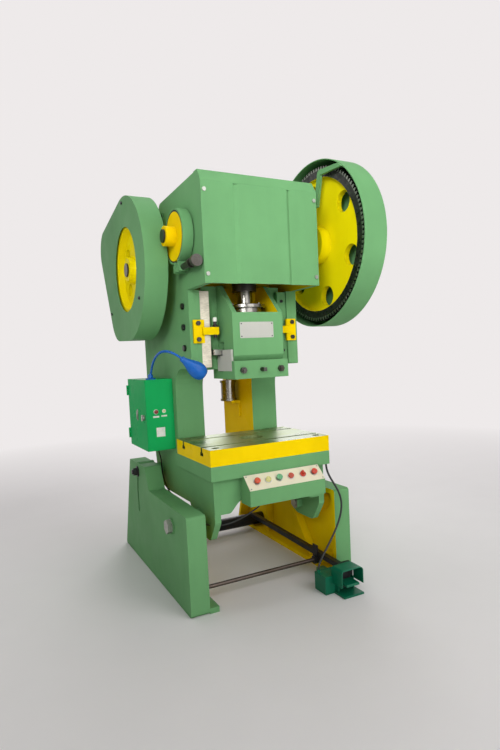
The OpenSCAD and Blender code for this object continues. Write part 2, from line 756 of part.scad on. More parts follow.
// Bull gear: toothed rim, thin web with six holes, hub
module bull_gear() stand() color("gold") {
    rim_r = gear_pitch_r - 45;
    hole_at = gear_pitch_r - 113;
    web = [gear_x + gear_face / 2 - 14, gear_x + gear_face / 2 + 14];
    translate([0, 0, crank_z]) difference() {
        union() {
            difference() {
                along_x(gear_x, gear_x + gear_face) polygon(gear_outline(gear_teeth, -drive_drop));
                along_x(gear_x - 1, gear_x + gear_face + 1) circle(rim_r, $fn = 120);
            }
            along_x(web[0], web[1]) difference() {
                circle(rim_r + 1, $fn = 120);
                for (k = [0:5]) translate(polar(hole_at, 60 * k + 20)) circle(52);
            }
            rod_x(95, gear_x - 30, gear_x + gear_face, [0, 0]);
        }
        rod_x(50 + slack, gear_x - 40, gear_x + gear_face + 10, [0, 0]);
    }
}

// Gear guard: a pan open towards the frame, on two arms
module gear_guard_outline(t) two_circles([0, crank_z], gear_guard_r - t, drive, pinion_guard_r - t);
function gear_rim(a) = [0, crank_z] + polar(gear_guard_r - guard_t / 2, a);
module gear_guard() stand() color("seagreen") {
    arm = [gear_guard_in - 11, gear_guard_in + 3];
    top_foot = [-68, -36];
    top_z = crank_z + 180;
    low_foot = [290, 340];
    low_z = crank_z - 350;
    difference() {
        along_x(gear_guard_in, gear_guard_out) gear_guard_outline(0);
        along_x(gear_guard_in - 1, gear_guard_out - guard_t) gear_guard_outline(guard_t);
    }
    along_x(arm[0], arm[1]) polygon([
        [top_foot[0], top_z], [top_foot[1], top_z], [-80, top_z + 168], [-96, top_z + 176], gear_rim(126),
        gear_rim(131), [-106, top_z + 148]
    ]);
    block([side_out, arm[1]], top_foot, [top_z, top_z + 8]);
    block([side_out, side_out + 8], top_foot, [top_z, top_z + 56]);
    along_x(arm[0], arm[1]) polygon([
        [low_foot[0], low_z], [low_foot[1], low_z], gear_rim(-37), gear_rim(-46)
    ]);
    block([side_out, arm[1]], low_foot, [low_z, low_z + 8]);
    block([side_out, side_out + 8], low_foot, [low_z, low_z + 60]);
}

// Drive shaft with its pinion, flywheel, pulley and belts
module drive_shaft() stand() color("silver") translate([0, drive.x, drive.y]) {
    rod_x(shaft_r, -flywheel_out - 8, gear_x + 1, [0, 0]);
    along_x(gear_x, gear_x + gear_face)
        polygon(gear_outline(pinion_teeth, 180 - drive_drop + 180 / pinion_teeth));
}
module belt_grooves(r) for (x = belt_x) rotate_extrude($fn = 120)
    polygon([[r + 1, x - 10], [r + 1, x + 10], [r - groove_d, x + 7], [r - groove_d, x - 7]]);
module flywheel() stand() color("gold") translate([0, drive.x, drive.y]) rotate([0, -90, 0]) difference() {
    rotate_extrude($fn = 120) polygon([
        [shaft_r, flywheel_in - 6], [66, flywheel_in - 6], [72, 400], [190, 408], [205, flywheel_in],
        [flywheel_r, flywheel_in], [flywheel_r, flywheel_out], [205, flywheel_out], [190, 430], [72, 426],
        [58, flywheel_out], [shaft_r, flywheel_out]
    ]);
    belt_grooves(flywheel_r);
    for (k = [0:3]) rotate(90 * k + 45) translate([130, 0, 390]) cylinder(r = 34, h = 60);
}
module motor_pulley() stand() color("dimgray") translate([0, motor_axis.x, motor_axis.y]) rotate([0, -90, 0]) {
    difference() {
        cylinder_from = 385;
        translate([0, 0, cylinder_from]) cylinder(r = pulley_r, h = 70, $fn = 120);
        belt_grooves(pulley_r);
    }
    translate([0, 0, 344]) cylinder(r = 19, h = 116);
}
module belt_line(t) two_circles(drive, flywheel_r - groove_d + slack + t, motor_axis, pulley_r - groove_d + slack + t);
module v_belts() stand() color("black") for (x = belt_x) along_x(-x - belt_w / 2, -x + belt_w / 2) difference() {
    belt_line(11);
    belt_line(0);
}

// Belt guard: a pan with a round window, on two arms
module belt_guard_outline(t) {
    front = [drive.x + 2, drive.y];
    below = [640, crank_z - 260];
    two_circles(front, 369 - t, motor_axis, 120 - t);
    two_circles(front, 369 - t, below, 185 - t);
    two_circles(below, 185 - t, motor_axis, 120 - t);
}
module belt_guard() stand() color("seagreen") {
    arm = [-belt_guard_in - 1, -belt_guard_in + 7];
    top_foot = [290, 330];
    top_z = crank_z + 180;
    low_foot = [590, 630];
    low_z = crank_z - 360;
    difference() {
        along_x(-belt_guard_out, -belt_guard_in) belt_guard_outline(0);
        along_x(-belt_guard_out + guard_t, -belt_guard_in + 1) belt_guard_outline(guard_t);
        rod_x(belt_hole_r, -belt_guard_out - 1, -belt_guard_out + 10, drive);
    }
    along_x(arm[0], arm[1])
        polygon([[top_foot[0], top_z], [top_foot[1], top_z], [318, top_z + 86], [272, top_z + 62]]);
    block([arm[0], -side_out], top_foot, [top_z, top_z + 8]);
    block([-side_out - 8, -side_out], top_foot, [top_z - 30, top_z + 8]);
    along_x(arm[0], arm[1])
        polygon([[low_foot[0], low_z], [low_foot[1], low_z], [622, low_z - 83], [576, low_z - 73]]);
    block([arm[0], -side_out], low_foot, [low_z - 8, low_z]);
    block([-side_out - 8, -side_out], low_foot, [low_z - 8, low_z + 32]);
}

// Motor with a finned body, and the bracket it stands on
module motor() stand() color("seagreen") translate([0, motor_axis.x, motor_axis.y]) {
    fins = 36;
    fin_outline = [
        for (k = [0:fins - 1])
            each [
                polar(motor_r - 14, 10 * k - 3.2), polar(motor_r - 14, 10 * k - 1.6),
                polar(motor_r, 10 * k - 1.2), polar(motor_r, 10 * k + 1.2), polar(motor_r - 14, 10 * k + 1.6)
            ]
    ];
    along_x(-290, -20) polygon(fin_outline);
    rod_x(motor_r + 2, -312, -289, [0, 0]);
    rod_x(60, -336, -311, [0, 0]);
    rod_x(motor_r + 2, -21, 0, [0, 0]);
    rod_x(motor_r + 4, 0, 70, [0, 0]);
    block([-260, -60], [-105, 105], [-motor_shaft_h, -motor_shaft_h + 16]);
    for (x = [-245, -90]) block([x, x + 20], [-80, 80], [-motor_shaft_h + 15, -70]);
    block([-220, -110], [-52, 52], [motor_r - 18, motor_r + 46]);
}
module motor_bracket() stand() color("seagreen") {
    top = motor_axis.y - motor_shaft_h;
    plate_t = 20;
    block([-side_in, side_in], [600, 1010], [top - plate_t, top]);
    both_sides() along_x(side_in - 20, side_in)
        polygon([[545, top], [545, top - 138], [640, top - 318], [1010, top - 50], [1010, top]]);
}

// Slide: body, slanted cheeks, back wall and rails
module slide() stand() color("seagreen") difference() {
    top_of_clamp = slide_bottom_z + clamp_block_h;
    union() {
        along_x(-slide_x, slide_x) polygon([
            [slide_back, slide_bottom_z], [slide_back, slide_top_z], [slide_front, slide_top_z],
            [slide_front, top_of_clamp + 25], [slide_front + 16, top_of_clamp], [clamp_split, top_of_clamp],
            [clamp_split, slide_bottom_z]
        ]);
        both_sides() along_x(slide_x - 24, slide_x) polygon([
            [slide_back, slide_top_z - 1], [slide_back, cheek_top_z], [10, cheek_top_z], [slide_front, slide_top_z],
            [slide_front, slide_top_z - 1]
        ]);
        block([-slide_x, slide_x], [slide_back - 24, slide_back], [slide_top_z - 1, cheek_top_z]);
        both_sides() block([slide_x - 10, rail_x], [rail_front, rail_back], [guide_bottom_z - 10, cheek_top_z]);
    }
    rod_z(shank_d / 2, slide_bottom_z - 1, slide_bottom_z + 80);
    rod_z(10, slide_bottom_z + 79, knockout_z);
    block([-slide_x - 1, slide_x + 1], [-22, 22], [knockout_z - gap, knockout_z + 60]);
    translate([0, 0, ball_z]) sphere(ball_r + gap, $fn = 96);
    rod_z(ball_r + gap, ball_z, slide_top_z + 1);
    both_sides() rod_y(9 + slack, clamp_split - 1, 60, clamp_bolt_x, slide_bottom_z + 40);
}
module shank_clamp() stand() color("seagreen") difference() {
    block([-slide_x - 9, slide_x + 9], [clamp_block_front, clamp_split - gap], [slide_bottom_z, slide_bottom_z + clamp_block_h - gap]);
    rod_z(shank_d / 2, slide_bottom_z - 1, slide_bottom_z + 80);
    both_sides() rod_y(9 + slack, clamp_block_front - 1, 0, clamp_bolt_x, slide_bottom_z + 40);
    rod_y(10 + slack, clamp_block_front - 1, -60, 0, slide_bottom_z + 40);
}
module clamp_bolts() stand() color("dimgray") {
    both_sides() {
        rod_y(9, clamp_block_front - 22, 58, clamp_bolt_x, slide_bottom_z + 40);
        hex_y(28, clamp_block_front - 14, clamp_block_front, clamp_bolt_x, slide_bottom_z + 40);
    }
    rod_y(10, clamp_block_front - 20, -61, 0, slide_bottom_z + 40);
    block([-9, 9], [clamp_block_front - 34, clamp_block_front - 16], [slide_bottom_z + 31, slide_bottom_z + 49]);
}
module knockout_bar() stand() color("silver")
    block([-knockout_x, knockout_x], [-20, 20], [knockout_z, knockout_z + 26]);

// Ball screw, its cap, and the connecting rod
module ball_cap() stand() color("silver") difference() {
    rod_z(cap_r, slide_top_z, slide_top_z + cap_t);
    rod_z(screw_r + 2, slide_top_z - 1, slide_top_z + cap_t + 1);
}
module ball_screw() stand() color("silver") {
    translate([0, 0, ball_z]) sphere(ball_r, $fn = 96);
    rod_z(screw_r, ball_z, socket_bottom_z + 130);
}
module connecting_rod() stand() color("dimgray") difference() {
    union() {
        along_x(-rod_half, rod_half) two_circles([0, pin_z], 95, [0, socket_bottom_z + 110], 58);
        rod_z(socket_r, socket_bottom_z, socket_bottom_z + 110);
    }
    rod_z(screw_r + gap, socket_bottom_z - 1, socket_bottom_z + 185);
    rod_x(crank_pin_r + slack / 3, -rod_half - 1, rod_half + 1, [0, pin_z]);
}
module crank_pin() stand() color("silver") rod_x(crank_pin_r, -rod_half - 2, rod_half + 2, [0, pin_z]);

// Air cylinder of the clutch, on the right upright's inner wall
module clutch_cylinder() stand() color("silver") {
    at = [92, 450];
    foot_z = table_top_z + 212;
    rod_z(42, foot_z + 28, foot_z + 122, at.x, at.y);
    rod_z(47, foot_z + 16, foot_z + 29, at.x, at.y);
    rod_z(47, foot_z + 121, foot_z + 136, at.x, at.y);
    rod_z(11, foot_z + 135, foot_z + 250, at.x, at.y);
    block([at.x, upright_in], [at.y - 40, at.y + 40], [foot_z, foot_z + 17]);
    block([upright_in - 8, upright_in], [at.y - 40, at.y + 40], [foot_z - 80, foot_z + 17]);
}

// Electrical box on the left side plate, with its door on the outer side
module electrical_box() stand() color("mediumseagreen") {
    difference() {
        block([-cabinet_out, -side_out], [cabinet_front, cabinet_back], [cabinet_bottom_z, cabinet_top_z]);
        block(
            [-cabinet_out - 1, -side_out - sheet_t], [cabinet_front + sheet_t, cabinet_back - sheet_t],
            [cabinet_bottom_z + sheet_t, cabinet_top_z - sheet_t]
        );
    }
    for (z = hinge_z) for (low = [z, z + hinge_l * 2 / 3]) {
        rod_z(hinge_r, low, low + hinge_l / 3, hinge_at.x, hinge_at.y);
        block([hinge_at.x, -cabinet_out + 20], [cabinet_back + gap, cabinet_back + 3], [low, low + hinge_l / 3]);
        block([-cabinet_out, -cabinet_out + 20], [cabinet_back - 1, cabinet_back + 1], [low, low + hinge_l / 3]);
    }
}
module cabinet_door() stand() color("mediumseagreen") {
    difference() {
        block([-door_x - sheet_t, -door_x], [cabinet_front, cabinet_back], [cabinet_bottom_z, cabinet_top_z]);
        rod_x(8 + slack, -door_x - 10, -door_x + 10, lock_at);
    }
    for (z = hinge_z) {
        knuckle = [z + hinge_l / 3 + gap, z + hinge_l * 2 / 3 - gap];
        rod_z(hinge_r, knuckle[0], knuckle[1], hinge_at.x, hinge_at.y);
        block([-door_x - sheet_t, -door_x - 0.5], [cabinet_back - 1, hinge_at.y], knuckle);
    }
}
module door_lock() stand() color("dimgray") {
    rod_x(8, -door_x - 8, -door_x + 20, lock_at);
    rod_x(15, -door_x - 14, -door_x - sheet_t - gap, lock_at);
    block([-door_x - 20, -door_x - 13], [lock_at.x - 4, lock_at.x + 4], [lock_at.y - 16, lock_at.y + 16]);
    block([-door_x + 10, -door_x + 14], [lock_at.x - 26, lock_at.x + 8], [lock_at.y - 8, lock_at.y + 8]);
}

// Work lamp on the electrical box
module work_lamp_neck() stand() color("steelblue") {
    foot = lamp_route[0];
    rod_z(26, cabinet_top_z, cabinet_top_z + 8, foot.x, foot.y + 4);
    rod_z(13, cabinet_top_z + 7, foot.z + 8, foot.x, foot.y);
    tube(lamp_route, lamp_neck_r, [0.4, 0.5, 1]);
}
module work_lamp_shade() {
    reach = norm(lamp_reach);
    outer = [[9, 0], [13, 3], [14, 18], [17, 34], [23, 56], [29, 80], [33, 102], [34.5, 122], [34, 142], [32, reach]];
    inner = [[30, reach], [32, 142], [32.5, 122], [31, 102], [27, 82], [21, 60], [0, 60]];
    stand() color("steelblue") translate(lamp_start) rotate([0, acos(lamp_reach.z / reach), atan2(lamp_reach.y, lamp_reach.x)])
        difference() {
            rotate_extrude($fn = 72) polygon(concat([[0, 0]], outer, inner));
            translate([0, 0, -1]) cylinder(r = lamp_neck_r + 0.3, h = 1.7);
        }
}

// Control box under the table's front edge, with a slanted panel
module on_panel(x) translate([x, panel_mid.x, panel_mid.y]) rotate([panel_angle, 0, 0]) children();
control_profile = [
    [apron_front, panel_low.y - 70], [apron_front, table_bottom_z - gap], [panel_high.x, table_bottom_z - gap],
    panel_high, panel_low, [panel_low.x, panel_low.y - 70]
];
module control_box() stand() color("seagreen") difference() {
    along_x(control_left, control_right) polygon(control_profile);
    along_x(control_left + sheet_t, control_right - sheet_t) polygon(inset(control_profile, sheet_t));
    for (x = button_x) translate([control_x, 0, 0]) on_panel(x) translate([0, 0, -20]) cylinder(r = stem_r + gap, h = 40);
}
module control_panel() stand() color("ivory") difference() {
    length = norm(panel_high - panel_low);
    union() {
        on_panel(control_x) block([-control_w / 2, control_w / 2], [-length / 2 + 1, length / 2 - 1], [0, panel_t]);
        for (x = button_x) on_panel(control_x + x) cylinder(r = button_r + 3, h = panel_t + 2);
        on_panel(control_x + button_x[1]) cylinder(r = button_r - 1, h = panel_t + 12);
        on_panel(control_x + button_x[3]) cylinder(r = button_r - 1, h = panel_t + 12);
    }
    for (k = [0, 2, 4, 5]) on_panel(control_x + button_x[k]) translate([0, 0, -5]) cylinder(r = stem_r + gap, h = 20);
}
module push_button(k) on_panel(control_x + button_x[k]) {
    translate([0, 0, -14]) cylinder(r = stem_r, h = panel_t + 26);
    translate([0, 0, panel_t + 8]) rotate_extrude()
        polygon([[0, 0], [button_r, 0], [button_r, 8], [button_r - 3, 11], [0, 11]]);
}
module left_button() stand() color("orangered") push_button(0);
module start_button() stand() color("limegreen") push_button(2);
module stop_button() stand() color("red") push_button(5);
module mode_selector() stand() color("firebrick") on_panel(control_x + button_x[4]) {
    translate([0, 0, -14]) cylinder(r = stem_r, h = panel_t + 20);
    translate([0, 0, panel_t + 2 + gap]) cylinder(r = button_r, h = 6);
    block([-3.5, 3.5], [-button_r + 1, button_r - 1], [panel_t + 8, panel_t + 17]);
}

left_leg();
right_leg();
rear_tie_tube();
pedal_shaft();
pivot_bolts();
footswitch_base();
footswitch_hood();
footswitch_treadle();
footswitch_cable();
pedal_lever();
left_side_plate();
right_side_plate();
left_upright();
right_upright();
table_block();
head_box();
tilt_bolts();
bolster_plate();
head_cover();
left_gib();
right_gib();
frame_bolts();
knockout_stops();
stop_screws();
crank_bushes();
shaft_bearings();
crankshaft();
brake_drum();
brake_band();
brake_lining();
brake_adjuster();
bull_gear();
gear_guard();
drive_shaft();
flywheel();
belt_guard();
v_belts();
motor();
motor_pulley();
motor_bracket();
slide();
shank_clamp();
clamp_bolts();
knockout_bar();
ball_cap();
ball_screw();
connecting_rod();
crank_pin();
clutch_cylinder();
electrical_box();
cabinet_door();
door_lock();
work_lamp_neck();
work_lamp_shade();
control_box();
control_panel();
left_button();
start_button();
stop_button();
mode_selector();
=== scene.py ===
"""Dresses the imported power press: camera, light, paint, cables and small fittings."""
import math

import bmesh
import bpy
from mathutils import Matrix, Vector


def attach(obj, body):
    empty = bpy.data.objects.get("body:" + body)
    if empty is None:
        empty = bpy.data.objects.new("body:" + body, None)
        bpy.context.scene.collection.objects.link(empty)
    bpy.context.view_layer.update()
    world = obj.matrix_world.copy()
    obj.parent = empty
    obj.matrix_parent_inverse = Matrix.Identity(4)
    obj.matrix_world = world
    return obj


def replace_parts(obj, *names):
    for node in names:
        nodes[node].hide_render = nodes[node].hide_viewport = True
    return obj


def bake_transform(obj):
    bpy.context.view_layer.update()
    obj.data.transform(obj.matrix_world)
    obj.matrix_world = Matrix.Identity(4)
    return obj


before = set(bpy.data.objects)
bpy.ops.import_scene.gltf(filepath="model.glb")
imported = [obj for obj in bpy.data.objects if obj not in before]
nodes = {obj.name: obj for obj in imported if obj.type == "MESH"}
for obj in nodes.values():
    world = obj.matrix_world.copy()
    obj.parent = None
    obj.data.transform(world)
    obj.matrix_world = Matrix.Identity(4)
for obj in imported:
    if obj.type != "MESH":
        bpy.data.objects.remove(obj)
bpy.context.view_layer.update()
scene = bpy.context.scene
scene.view_settings.view_transform = "Standard"

# The drawing is in mm about the slide's axis; the part's frame is in metres about the floor bolts
SLIDE_AXIS_Y = -370
MM = 0.001
LEFT, RIGHT, FRONT, BACK, UP = (-1, 0, 0), (1, 0, 0), (0, -1, 0), (0, 1, 0), (0, 0, 1)


def at(x, y, z):
    """A point of the drawing in the part's frame."""
    return Vector((x, y + SLIDE_AXIS_Y, z)) * MM


def drawn(point):
    """A point of the part's frame in the drawing's mm."""
    return Vector((point.x / MM, point.y / MM - SLIDE_AXIS_Y, point.z / MM))


def facing(point, out, up=UP):
    """A place on a face, in mm: local Z points out of it and local Y points up."""
    z = Vector(out).normalized()
    x = Vector(up).cross(z).normalized()
    turn = Matrix((x, z.cross(x), z)).transposed().to_4x4()
    return Matrix.Translation(at(*point)) @ turn @ Matrix.Scale(MM, 4)


# Camera
CAMERA_AT = (-1168, -2323, 1135)
CAMERA_AZIMUTH, CAMERA_PITCH, CAMERA_ROLL = 26.82, -3.65, -2.68
FOCAL_PX, AXIS_ROW, IMAGE_H = 523, 390, 750
SENSOR = 36


def make_camera():
    azimuth, pitch, roll = (math.radians(a) for a in (CAMERA_AZIMUTH, CAMERA_PITCH, CAMERA_ROLL))
    forward = Vector((
        math.sin(azimuth) * math.cos(pitch), math.cos(azimuth) * math.cos(pitch), math.sin(pitch),
    ))
    level = forward.cross(Vector(UP)).normalized()
    upright = level.cross(forward)
    right = level * math.cos(roll) + upright * math.sin(roll)
    up = upright * math.cos(roll) - level * math.sin(roll)
    data = bpy.data.cameras.new("camera")
    data.sensor_width = SENSOR
    data.lens = FOCAL_PX / IMAGE_H * SENSOR
    data.shift_y = (AXIS_ROW - IMAGE_H / 2) / IMAGE_H
    camera = bpy.data.objects.new("camera", data)
    turn = Matrix((right, up, -forward)).transposed().to_4x4()
    camera.matrix_world = Matrix.Translation(at(*CAMERA_AT)) @ turn
    scene.collection.objects.link(camera)
    scene.camera = camera


make_camera()


# Shader helpers
NODE_SAMPLES = 4


def srgb(r, g, b):
    """A display colour, 0 to 255, as a linear colour."""
    linear = [c / 255 / 12.92 if c <= 10 else ((c / 255 + 0.055) / 1.055) ** 2.4 for c in (r, g, b)]
    return (*linear, 1)


def scaled(colour, k):
    return (*(min(c * k, 1) for c in colour[:3]), 1)


class Shader:
    """A material with a Principled BSDF and short ways to add nodes to it."""

    def __init__(self, name, **sockets):
        self.material = bpy.data.materials.new(name)
        self.material.use_nodes = True
        self.tree = self.material.node_tree
        self.surface = self.tree.nodes["Principled BSDF"]
        self.set(self.surface, sockets)
        self.place = self.add("TexCoord").outputs["Object"]

    def set(self, node, sockets):
        for key, value in sockets.items():
            socket = node.inputs[key]
            if isinstance(value, bpy.types.NodeSocket):
                self.tree.links.new(value, socket)
            else:
                socket.default_value = value

    def add(self, kind, props=(), **sockets):
        node = self.tree.nodes.new("ShaderNode" + kind)
        for key, value in dict(props).items():
            setattr(node, key, value)
        self.set(node, {k.replace("_", " "): v for k, v in sockets.items()})
        return node

    def noise(self, scale, detail=3, stretch=(1, 1, 1), rough=0.55):
        where = self.add("Mapping", Vector=self.place, Scale=stretch).outputs["Vector"]
        return self.add("TexNoise", Vector=where, Scale=scale, Detail=detail, Roughness=rough).outputs["Fac"]

    def ramp(self, value, low, high, to_low=0.0, to_high=1.0):
        node = self.add("MapRange", {"clamp": True}, Value=value)
        self.set(node, {"From Min": low, "From Max": high, "To Min": to_low, "To Max": to_high})
        return node.outputs["Result"]

    def math(self, operation, a, b):
        node = self.tree.nodes.new("ShaderNodeMath")
        node.operation = operation
        self.set(node, {0: a, 1: b})
        return node.outputs["Value"]

    def mix(self, factor, a, b):
        node = self.tree.nodes.new("ShaderNodeMix")
        node.data_type = "RGBA"
        self.set(node, {0: factor, 6: a, 7: b})
        return node.outputs[2]

    def edges(self, radius):
        """1 on outer and inner edges narrower than the radius, 0 on open faces."""
        rounded = self.soft(radius)
        straight = self.add("NewGeometry").outputs["Normal"]
        node = self.add("VectorMath", {"operation": "DOT_PRODUCT"})
        self.set(node, {0: rounded, 1: straight})
        return self.ramp(node.outputs["Value"], 0.985, 0.80)

    def corners(self, distance):
        """An occlusion mask: 1 deep in a corner, 0 in the open; a colour darkened by it is painted shade."""
        seen = self.add("AmbientOcclusion", {"samples": NODE_SAMPLES}, Distance=distance).outputs["AO"]
        return self.ramp(seen, 0.75, 0.25)

    def bump(self, height, strength, distance, normal=None):
        node = self.add("Bump", Height=height, Strength=strength, Distance=distance)
        if normal is not None:
            self.set(node, {"Normal": normal})
        self.set(self.surface, {"Normal": node.outputs["Normal"]})

    def colour(self, value):
        self.set(self.surface, {"Base Color": value})
        return self.material

    def rough(self, value):
        self.set(self.surface, {"Roughness": value})

    def soft(self, radius):
        """A normal that rounds off sharp edges."""
        return self.add("Bevel", {"samples": NODE_SAMPLES}, Radius=radius).outputs["Normal"]


def enamel(name, paint, gloss=0.40, wear_and_edge_light=0.5, grime_and_shade=0.5, undercoat=(70, 74, 66), shine=0.015, coat=0.0):
    """Sprayed enamel: faint mottle, runs and orange peel, worn edges with a painted highlight along them,
    and dirt with painted shade in the corners.
    """
    s = Shader(name, **{"Specular IOR Level": shine, "Coat Weight": coat, "Coat Roughness": 0.12})
    mottle = s.ramp(s.noise(2.6, 5), 0.32, 0.68)
    runs = s.ramp(s.noise(1.0, 4, (16, 16, 1.4)), 0.35, 0.75)
    base = s.mix(mottle, scaled(paint, 0.90), scaled(paint, 1.06))
    base = s.mix(s.math("MULTIPLY", runs, 0.16), base, scaled(paint, 0.74))
    # Darker deep in corners and crevices through an occlusion mask: painted shade, broken up by noise as
    # dirt.
    dirt_and_shade = s.math("MULTIPLY", s.corners(0.05), s.ramp(s.noise(24, 4), 0.25, 0.7, 0.35, 1.0))
    base = s.mix(s.math("MULTIPLY", dirt_and_shade, grime_and_shade), base, scaled(paint, 0.30))
    # Paler paint along the edges is a painted highlight; the undercoat rubbed through and the dark flecks
    # are wear.
    edge = s.edges(0.004)
    rubbed = s.math("MULTIPLY", edge, s.ramp(s.noise(36, 5), 0.40, 0.62))
    base = s.mix(s.math("MULTIPLY", edge, 0.30 * wear_and_edge_light), base, scaled(paint, 1.5))
    base = s.mix(s.math("MULTIPLY", rubbed, 0.55 * wear_and_edge_light), base, srgb(*undercoat))
    flecks = s.ramp(s.noise(150, 3), 0.69, 0.73)
    base = s.mix(s.math("MULTIPLY", flecks, 0.25 * wear_and_edge_light), base, scaled(paint, 0.55))
    s.rough(s.ramp(s.noise(9, 5), 0.3, 0.7, gloss - 0.07, gloss + 0.10))
    s.bump(s.noise(520, 2), strength=0.10, distance=0.0006, normal=s.soft(0.0016))
    return s.colour(base)


def metal(name, tint, gloss, grain=(1, 1, 1), oil=0.3, grain_scale=260, oil_tint=(54, 44, 26)):
    """Machined steel: tool marks along one way, uneven polish and a thin film of old oil."""
    s = Shader(name, Metallic=1.0)
    marks = s.noise(grain_scale, 3, grain)
    polish = s.noise(14, 4)
    film = s.math("MULTIPLY", s.ramp(s.noise(7, 5), 0.42, 0.70), oil)
    base = s.mix(s.ramp(marks, 0.3, 0.7), scaled(tint, 0.82), scaled(tint, 1.12))
    base = s.mix(film, base, srgb(*oil_tint))
    # Darker deep in corners through an occlusion mask: painted shade.
    base = s.mix(s.math("MULTIPLY", s.corners(0.02), 0.6), base, scaled(tint, 0.16))
    s.rough(s.ramp(polish, 0.3, 0.7, gloss - 0.08, gloss + 0.12))
    s.bump(marks, strength=0.14, distance=0.0004, normal=s.soft(0.0010))
    return s.colour(base)


def moulded(name, tint, gloss=0.3, grain=700, clear=0.0):
    """Moulded plastic or rubber: fine texture, scuffs and slight shade changes."""
    s = Shader(name, **{"Coat Weight": clear, "Coat Roughness": 0.06})
    base = s.mix(s.ramp(s.noise(60, 4), 0.3, 0.7), scaled(tint, 0.86), scaled(tint, 1.08))
    scuffs = s.ramp(s.noise(90, 5, (1, 5, 1)), 0.62, 0.72)
    base = s.mix(s.math("MULTIPLY", scuffs, 0.18), base, scaled(tint, 1.45))
    # Darker deep in corners through an occlusion mask: painted shade.
    base = s.mix(s.math("MULTIPLY", s.corners(0.008), 0.45), base, scaled(tint, 0.35))
    s.rough(s.ramp(s.noise(120, 4), 0.3, 0.7, gloss - 0.06, gloss + 0.12))
    s.bump(s.noise(grain, 2), strength=0.10, distance=0.0005, normal=s.soft(0.0008))
    return s.colour(base)


def grease(name):
    """Black gear grease: lumps, wet patches, and paler crests that are rubbed steel with a painted
    highlight.
    """
    s = Shader(name, Metallic=0.25)
    lumps = s.noise(70, 5)
    base = s.mix(s.ramp(lumps, 0.35, 0.7), srgb(13, 15, 13), srgb(44, 50, 42))
    # The paler crests along the edges are rubbed steel and a painted highlight.
    shine = s.math("MULTIPLY", s.edges(0.003), s.ramp(s.noise(45, 3), 0.40, 0.60))
    base = s.mix(s.math("MULTIPLY", shine, 0.75), base, srgb(150, 152, 140))
    s.rough(s.ramp(s.noise(40, 4), 0.35, 0.65, 0.18, 0.55))
    s.bump(lumps, strength=0.35, distance=0.0025)
    return s.colour(base)


def ground_top(name):
    """The bolster's ground top: grinding lines, dark green oil, and paler, drier patches whose green tint is
    a painted reflection of the paint round it.
    """
    s = Shader(name, Metallic=0.55)
    lines = s.noise(30, 4, (1.5, 60, 1))
    oil_pools_and_reflection = s.ramp(s.noise(3.4, 6, (1, 1.6, 1)), 0.36, 0.62)
    # The paler green patches between the oil pools are a painted reflection of the green paint; they are
    # also rougher, drier metal.
    base = s.mix(oil_pools_and_reflection, srgb(158, 172, 112), srgb(82, 104, 48))
    base = s.mix(s.math("MULTIPLY", s.ramp(lines, 0.35, 0.7), 0.35), base, srgb(48, 62, 40))
    scratches = s.ramp(s.noise(55, 3, (14, 1, 1)), 0.66, 0.70)
    base = s.mix(s.math("MULTIPLY", scratches, 0.5), base, srgb(196, 200, 176))
    # Darker deep in corners through an occlusion mask: painted shade.
    base = s.mix(s.math("MULTIPLY", s.corners(0.02), 0.7), base, srgb(20, 24, 16))
    s.rough(s.ramp(oil_pools_and_reflection, 0.0, 1.0, 0.46, 0.24))
    s.bump(lines, strength=0.12, distance=0.0006)
    return s.colour(base)


def lens(name, tint):
    """A pilot lamp's ribbed lens."""
    s = Shader(name, **{"Roughness": 0.16, "Transmission Weight": 0.12, "Coat Weight": 0.4})
    ribs = s.noise(420, 1, (1, 0.1, 0.1))
    base = s.mix(s.ramp(ribs, 0.35, 0.65), scaled(tint, 0.75), scaled(tint, 1.15))
    s.bump(ribs, strength=0.2, distance=0.0005)
    return s.colour(base)


# Paints, metals and plastics
WORN_YELLOW = (120, 96, 40)
green = enamel("green_enamel", srgb(111, 165, 111))
emerald = enamel("emerald_enamel", srgb(32, 180, 98), gloss=0.30, wear_and_edge_light=0.35)
yellow = enamel("yellow_enamel", srgb(250, 213, 6), gloss=0.30, grime_and_shade=0.40, undercoat=WORN_YELLOW)
# A lighter copy of the yellow paint for the gear's and flywheel's webs, which face away from the lamps:
# painted light.
yellow_lit_copy = enamel("yellow_enamel_lit_copy", srgb(255, 232, 8), gloss=0.30, grime_and_shade=0.40, undercoat=WORN_YELLOW)
black = enamel("black_enamel", srgb(27, 27, 29), gloss=0.36, undercoat=(96, 92, 88), shine=0.3)
blue = enamel("blue_enamel", srgb(24, 98, 184), gloss=0.24, wear_and_edge_light=0.3, grime_and_shade=0.3, shine=0.12, coat=0.3)
teal = enamel("teal_enamel", srgb(8, 108, 78), gloss=0.38, wear_and_edge_light=0.6, shine=0.25)
white_enamel = enamel("white_enamel", srgb(226, 226, 220), gloss=0.28, wear_and_edge_light=0.2)
plate_paint = enamel(
    "plate_enamel", srgb(190, 190, 182), gloss=0.42, wear_and_edge_light=0.2, grime_and_shade=0.3, undercoat=(140, 138, 130),
)
cream = enamel(
    "cream_enamel", srgb(232, 226, 200), gloss=0.40, wear_and_edge_light=0.2, grime_and_shade=0.3, undercoat=(150, 146, 132),
)
pale_iron = metal("scraped_iron", srgb(212, 205, 188), gloss=0.46, grain=(1, 1, 5), oil=0.18, grain_scale=60)
polished = metal("polished_steel", srgb(140, 138, 132), gloss=0.22, grain=(0.4, 0.4, 6), oil=0.40)
tooth_ends = metal("tooth_ends", srgb(150, 156, 146), gloss=0.42, oil=0.45, oil_tint=(30, 32, 28))
turned = metal("turned_steel", srgb(178, 178, 172), gloss=0.28, grain=(8, 0.4, 0.4), oil=0.30)
dark_steel = metal("oiled_steel", srgb(84, 82, 78), gloss=0.34, oil=0.45, grain_scale=120)
black_oxide = metal("black_oxide", srgb(66, 66, 68), gloss=0.36, oil=0.30, grain_scale=300)
